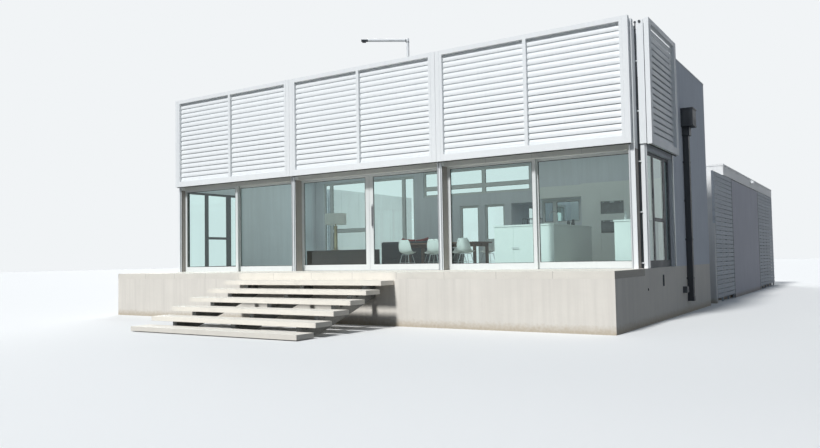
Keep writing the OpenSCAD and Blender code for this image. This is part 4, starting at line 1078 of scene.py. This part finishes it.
class HOUSE_OT_chairs(bpy.types.Operator):
    """Makes the dining chairs: a thin moulded shell on four splayed legs"""
    bl_idname = "house.chairs"
    bl_label = "Dining chairs"

    def execute(self, context):
        low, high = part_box("dining_chairs")
        half = 0.23
        xs = [low[0] + half + k * (high[0] - low[0] - 2 * half) / 2 for k in range(3)]
        rows = ((low[1] + half, 0.0), (high[1] - half, math.pi))
        places = [Matrix.Translation((x, y, low[2])) @ Matrix.Rotation(turn, 4, "Z")
                  for x in xs for y, turn in rows]
        seat, back, half_wide, dish = 0.45, high[2] - low[2], 0.225, 0.055

        # The shell's middle line is one smooth curve from the seat's front edge to the top of the back
        bends = [Vector((0, 0.205, seat - 0.015)), Vector((0, -0.11, seat - 0.045)),
                 Vector((0, -0.175, seat - 0.02)), Vector((0, -0.215, back))]
        one = bmesh.new()
        for vert in bmesh.ops.create_grid(one, x_segments=14, y_segments=22, size=0.5)["verts"]:
            u, t = vert.co.x * 2, vert.co.y + 0.5
            share = [(1 - t) ** 3, 3 * t * (1 - t) ** 2, 3 * t * t * (1 - t), t ** 3]
            spine = sum((point * part for point, part in zip(bends, share)), Vector())
            ahead = 3 * ((bends[1] - bends[0]) * (1 - t) ** 2 + 2 * t * (1 - t) * (bends[2] - bends[1])
                         + t * t * (bends[3] - bends[2]))
            lift = Vector((0, ahead.z, -ahead.y)).normalized() * dish * u * u
            wide = half_wide * (1 - 0.30 * abs(2 * t - 1) ** 7 - 0.12 * t)
            vert.co = spine + lift + Vector((u * wide, 0, 0))
        bmesh.ops.solidify(one, geom=one.faces[:], thickness=0.008)
        bm = bmesh.new()
        stamp(bm, one, places)
        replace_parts(piece("chair_shells", bm, "chair_shell", smooth=True), "dining_chairs")

        top, foot = seat - 0.04, 0.006
        one = bmesh.new()
        for x in (-1, 1):
            for y in (-1, 1):
                rod(one, (x * 0.10, y * 0.10 - 0.01, top + 0.01), (x * 0.19, y * 0.185, foot), 0.008, 10)
                rod(one, (x * 0.19, y * 0.185, 0), (x * 0.19, y * 0.185, 0.014), 0.012, 12)
            rod(one, (x * 0.10, -0.11, top), (x * 0.10, 0.09, top), 0.007, 8)
            rod(one, (0.150, x * 0.148, 0.19), (-0.150, -x * 0.148, 0.19), 0.004, 8)
        for y in (-0.11, 0.09):
            rod(one, (-0.10, y, top), (0.10, y, top), 0.007, 8)
        bm = bmesh.new()
        stamp(bm, one, places)
        piece("chair_legs", bm, "chair_shell", "chrome", True)
        return {"FINISHED"}


class HOUSE_OT_lamp(bpy.types.Operator):
    """Makes the table lamp: a drum shade on a turned brass stem"""
    bl_idname = "house.lamp"
    bl_label = "Table lamp"

    def execute(self, context):
        low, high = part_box("table_lamp")
        radius, wall, shade_h = (high[0] - low[0]) / 2, 0.005, 0.34
        x, y, top = (low[0] + high[0]) / 2, (low[1] + high[1]) / 2, high[2]
        foot = top - shade_h
        # The drum's section: how far in from its radius, and the level
        drum = ((wall, foot + 0.002), (0.001, foot), (0, foot + 0.012), (0.002, foot + 0.014),
                (0.002, top - 0.014), (0, top - 0.012), (0.001, top), (wall, top - 0.002),
                (wall, foot + 0.002))
        bm = bmesh.new()
        turned(bm, [(radius - inset, level) for inset, level in drum], (x, y, 0), 48)
        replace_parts(piece("lamp_drum", bm, "lamp_shade", smooth=True), "table_lamp")

        tall = foot - low[2]
        bm = bmesh.new()
        turned(bm, [(0, 0), (0.135, 0), (0.140, 0.006), (0.135, 0.016), (0.070, 0.026), (0.056, 0.045),
                    (0.054, 0.06), (0.060, 0.07), (0.060, 0.085), (0.054, 0.095), (0.052, tall - 0.10),
                    (0.060, tall - 0.085), (0.060, tall - 0.07), (0.050, tall - 0.06), (0.020, tall - 0.03),
                    (0.014, tall + 0.02), (0.014, tall + 0.10), (0.020, tall + 0.11), (0.020, tall + 0.16),
                    (0, tall + 0.16)], (x, y, low[2]), 32)
        reach = radius - wall
        for k in range(3):
            turn = k * math.tau / 3
            rod(bm, (x, y, top - 0.06),
                (x + reach * math.cos(turn), y + reach * math.sin(turn), top - 0.012), 0.003, 8)
        rod(bm, (x, y, foot + 0.10), (x, y, top - 0.05), 0.005, 10)
        piece("lamp_stem", bm, "lamp_shade", "lamp_brass", True)
        return {"FINISHED"}


class HOUSE_OT_sofa(bpy.types.Operator):
    """Makes the sofa: an upholstered frame, stuffed back, arms and seats, and two loose cushions"""
    bl_idname = "house.sofa"
    bl_label = "Sofa"

    def execute(self, context):
        low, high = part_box("sofa")
        seats = solids("sofa_cushions")
        seat_low = seats[0][0]
        arm_w = seat_low[0] - low[0] - 0.005
        back_face = seat_low[1] - 0.005
        base_top, seat_top = seat_low[2], seats[0][1][2]
        arm_drop, leg_h = 0.24, 0.11
        arm_top, foot = high[2] - arm_drop, low[2] + leg_h
        # The frame's cores lie inside the stuffed pads by about this much
        core = 0.05

        bm = bmesh.new()
        block(bm, (low[0] + 0.015, low[1] + 0.015, foot),
              (high[0] - 0.015, high[1] - 0.012, base_top - 0.006), 0.018, 3)
        block(bm, (low[0] + core, low[1] + core, base_top - 0.02),
              (high[0] - core, back_face - core, high[2] - 0.10), 0.02, 3)
        for x in (low[0], high[0] - arm_w):
            block(bm, (x + 0.04, back_face - 0.06, base_top - 0.02),
                  (x + arm_w - 0.04, high[1] - core, arm_top - 0.08), 0.02, 3)
        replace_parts(piece("sofa_frame", bm, "sofa_wool"), "sofa")

        bm = bmesh.new()
        for x in (low[0] + 0.12, (low[0] + high[0]) / 2, high[0] - 0.12):
            for y in (low[1] + 0.10, high[1] - 0.10):
                rod(bm, (x, y, low[2]), (x, y, foot + 0.002), 0.016, 16, 0.024)
        piece("sofa_feet", bm, "dark_metal", smooth=True)

        arm_y, pad_foot = back_face + 0.004, base_top - 0.05
        pads = [("sofa_back_pad", (low[0], low[1], pad_foot), (high[0], back_face, high[2]), 0.012),
                ("sofa_arm_left", (low[0], arm_y, pad_foot), (low[0] + arm_w, high[1], arm_top), 0.012),
                ("sofa_arm_right", (high[0] - arm_w, arm_y, pad_foot), (high[0], high[1], arm_top), 0.012)]
        pads += [("seat_cushion_%d" % k, one, two, 0.016) for k, (one, two) in enumerate(seats, 1)]
        for name, one, two, bulge in pads:
            size = [b - a for a, b in zip(one, two)]
            place = Matrix.Translation([(a + b) / 2 for a, b in zip(one, two)])
            made = swollen(name, size, place, "sofa_wool", bulge)
            if name == "seat_cushion_1":
                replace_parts(made, "sofa_cushions")

        bm = bmesh.new()
        for one, two in seats:
            for level in (one[2] + 0.022, two[2] - 0.022):
                welt(bm, ((one[0] + 0.006, one[1] + 0.006), (two[0] - 0.006, two[1] - 0.006)), level, 0.004)
        piece("seat_piping", bm, "sofa_wool", smooth=True)

        loose, lean_back = (0.48, 0.48, 0.13), math.radians(-68)
        for name, x, turn in (("throw_cushion_1", -0.91, 6), ("throw_cushion_2", -0.35, -9)):
            lean = Matrix.Rotation(lean_back, 4, "X") @ Matrix.Rotation(math.radians(turn), 4, "Z")
            place = Matrix.Translation((x, back_face + 0.165, seat_top + 0.25)) @ lean
            swollen(name, loose, place, "cushion_linen", 0.03)
        return {"FINISHED"}


def hang(data, way, at=(0, 0, 0)):
    """Puts a lamp into the scene, shining along way."""
    made = bpy.data.objects.new(data.name, data)
    bpy.context.scene.collection.objects.link(made)
    made.location = at
    made.rotation_euler = Vector(way).to_track_quat("-Z", "Y").to_euler()
    return made


class HOUSE_OT_stage(bpy.types.Operator):
    """Sets the floor, the soft studio light and the camera at the photograph's view"""
    bl_idname = "house.stage"
    bl_label = "Stage"

    def execute(self, context):
        scene = context.scene
        tone, half_side = scene.house_colours.ground, 160
        mesh = bpy.data.meshes.new("studio_floor")
        bm = bmesh.new()
        bmesh.ops.create_grid(bm, x_segments=1, y_segments=1, size=half_side)
        bm.to_mesh(mesh)
        bm.free()
        floor = bpy.data.objects.new("studio_floor", mesh)
        scene.collection.objects.link(floor)
        made, tree = begin("studio_floor_paint")[:2]
        seen = put(tree, "LightPath", {}, "Is Camera Ray")
        base = put(tree, "Mix", {"data_type": "RGBA", 0: seen, 6: darker(tone, 0.84), 7: tone}, 2)
        mesh.materials.append(close(made, base, [], Roughness=0.9))

        world = bpy.data.worlds.new("studio")
        scene.world = world
        world.use_nodes = True
        tree = world.node_tree
        tree.nodes.clear()
        shown = put(tree, "LightPath", {}, "Is Camera Ray")
        for kind in ("Is Glossy Ray", "Is Transmission Ray"):
            other = put(tree, "LightPath", {}, kind)
            shown = put(tree, "Math", {"operation": "MAXIMUM", 0: shown, 1: other})
        lamp = put(tree, "Background", {"Color": linear("#CCE0FA"), "Strength": 0.21})
        seen = put(tree, "Background", {"Color": linear("#F1F4F6"), "Strength": 1.0})
        put(tree, "OutputWorld", {"Surface": put(tree, "MixShader", {0: shown, 1: lamp, 2: seen})})

        # A high key lamp on the front, and a low, soft one from behind for the sides it doesn't reach
        for name, power, spread, way in (
                ("key", 3.2, 8, (0.1, 1.0, -1.0)), ("fill", 1.5, 35, (0.75, -1.0, -0.45))):
            sun = bpy.data.lights.new(name, "SUN")
            sun.energy = power
            sun.angle = math.radians(spread)
            hang(sun, way)

        # Soft panels of light over the room and over the yard behind it
        for name, low, high, way, power in (
                ("room_light", (-6.6, -7.2, 4.95), (6.6, -2.2, 4.95), (0, 0, -1), 80),
                ("yard_light", (0.2, 0.0, 2.2), (0.2, 5.0, 5.2), (-1, 0, -0.1), 300)):
            panel = bpy.data.lights.new(name, "AREA")
            panel.shape = "RECTANGLE"
            panel.size, panel.size_y = [b - a for a, b in zip(low, high) if b > a]
            panel.energy = power
            made = hang(panel, way, [(a + b) / 2 for a, b in zip(low, high)])
            for ray in ("camera", "glossy", "transmission"):
                setattr(made, "visible_" + ray, False)

        # Solved from the photograph: where the eye stands, how it is turned, and its focal length in pixels
        eye = Vector((11.681, -24.286, 1.506))
        yaw, tilt, roll = (math.radians(angle) for angle in (-32.56, 2.697, -0.985))
        focal, picture_w = 737.4, 820
        ahead = Vector((math.sin(yaw) * math.cos(tilt), math.cos(yaw) * math.cos(tilt), math.sin(tilt)))
        right = Vector((math.cos(yaw), -math.sin(yaw), 0))
        up = right.cross(ahead)
        turned_right = math.cos(roll) * right + math.sin(roll) * up
        turned_up = math.cos(roll) * up - math.sin(roll) * right
        lens = bpy.data.cameras.new("photo_view")
        lens.sensor_width = 36.0
        lens.lens = lens.sensor_width * focal / picture_w
        lens.clip_end = 500
        view = bpy.data.objects.new("photo_view", lens)
        scene.collection.objects.link(view)
        turn = Matrix((turned_right, turned_up, -ahead)).transposed().to_4x4()
        view.matrix_world = Matrix.Translation(eye) @ turn
        scene.camera = view
        scene.view_settings.view_transform = "Standard"
        return {"FINISHED"}


class HOUSE_PT_panel(bpy.types.Panel):
    """Lists the operators that dress the house"""
    bl_label = "Beach house"
    bl_idname = "HOUSE_PT_panel"
    bl_space_type = "VIEW_3D"
    bl_region_type = "UI"
    bl_category = "House"

    def draw(self, context):
        for operator in OPERATORS:
            self.layout.operator(operator.bl_idname)
        for group in (context.scene.house_sizes, context.scene.house_colours):
            for name in group.__annotations__:
                self.layout.prop(group, name)


OPERATORS = (HOUSE_OT_stage, HOUSE_OT_finishes, HOUSE_OT_glazing, HOUSE_OT_screens, HOUSE_OT_roof,
             HOUSE_OT_mast, HOUSE_OT_floor, HOUSE_OT_rainwater, HOUSE_OT_fittings, HOUSE_OT_fence,
             HOUSE_OT_jambs, HOUSE_OT_doors, HOUSE_OT_kitchen, HOUSE_OT_chairs, HOUSE_OT_lamp, HOUSE_OT_sofa)
CLASSES = (HouseColours, HouseSizes) + OPERATORS + (HOUSE_PT_panel,)


def register():
    for made in CLASSES:
        bpy.utils.register_class(made)
    bpy.types.Scene.house_colours = PointerProperty(type=HouseColours)
    bpy.types.Scene.house_sizes = PointerProperty(type=HouseSizes)


def unregister():
    del bpy.types.Scene.house_sizes
    del bpy.types.Scene.house_colours
    for made in reversed(CLASSES):
        bpy.utils.unregister_class(made)


def main():
    register()
    for operator in OPERATORS:
        group, name = operator.bl_idname.split(".")
        getattr(getattr(bpy.ops, group), name)()


if __name__ == "__main__":
    main()
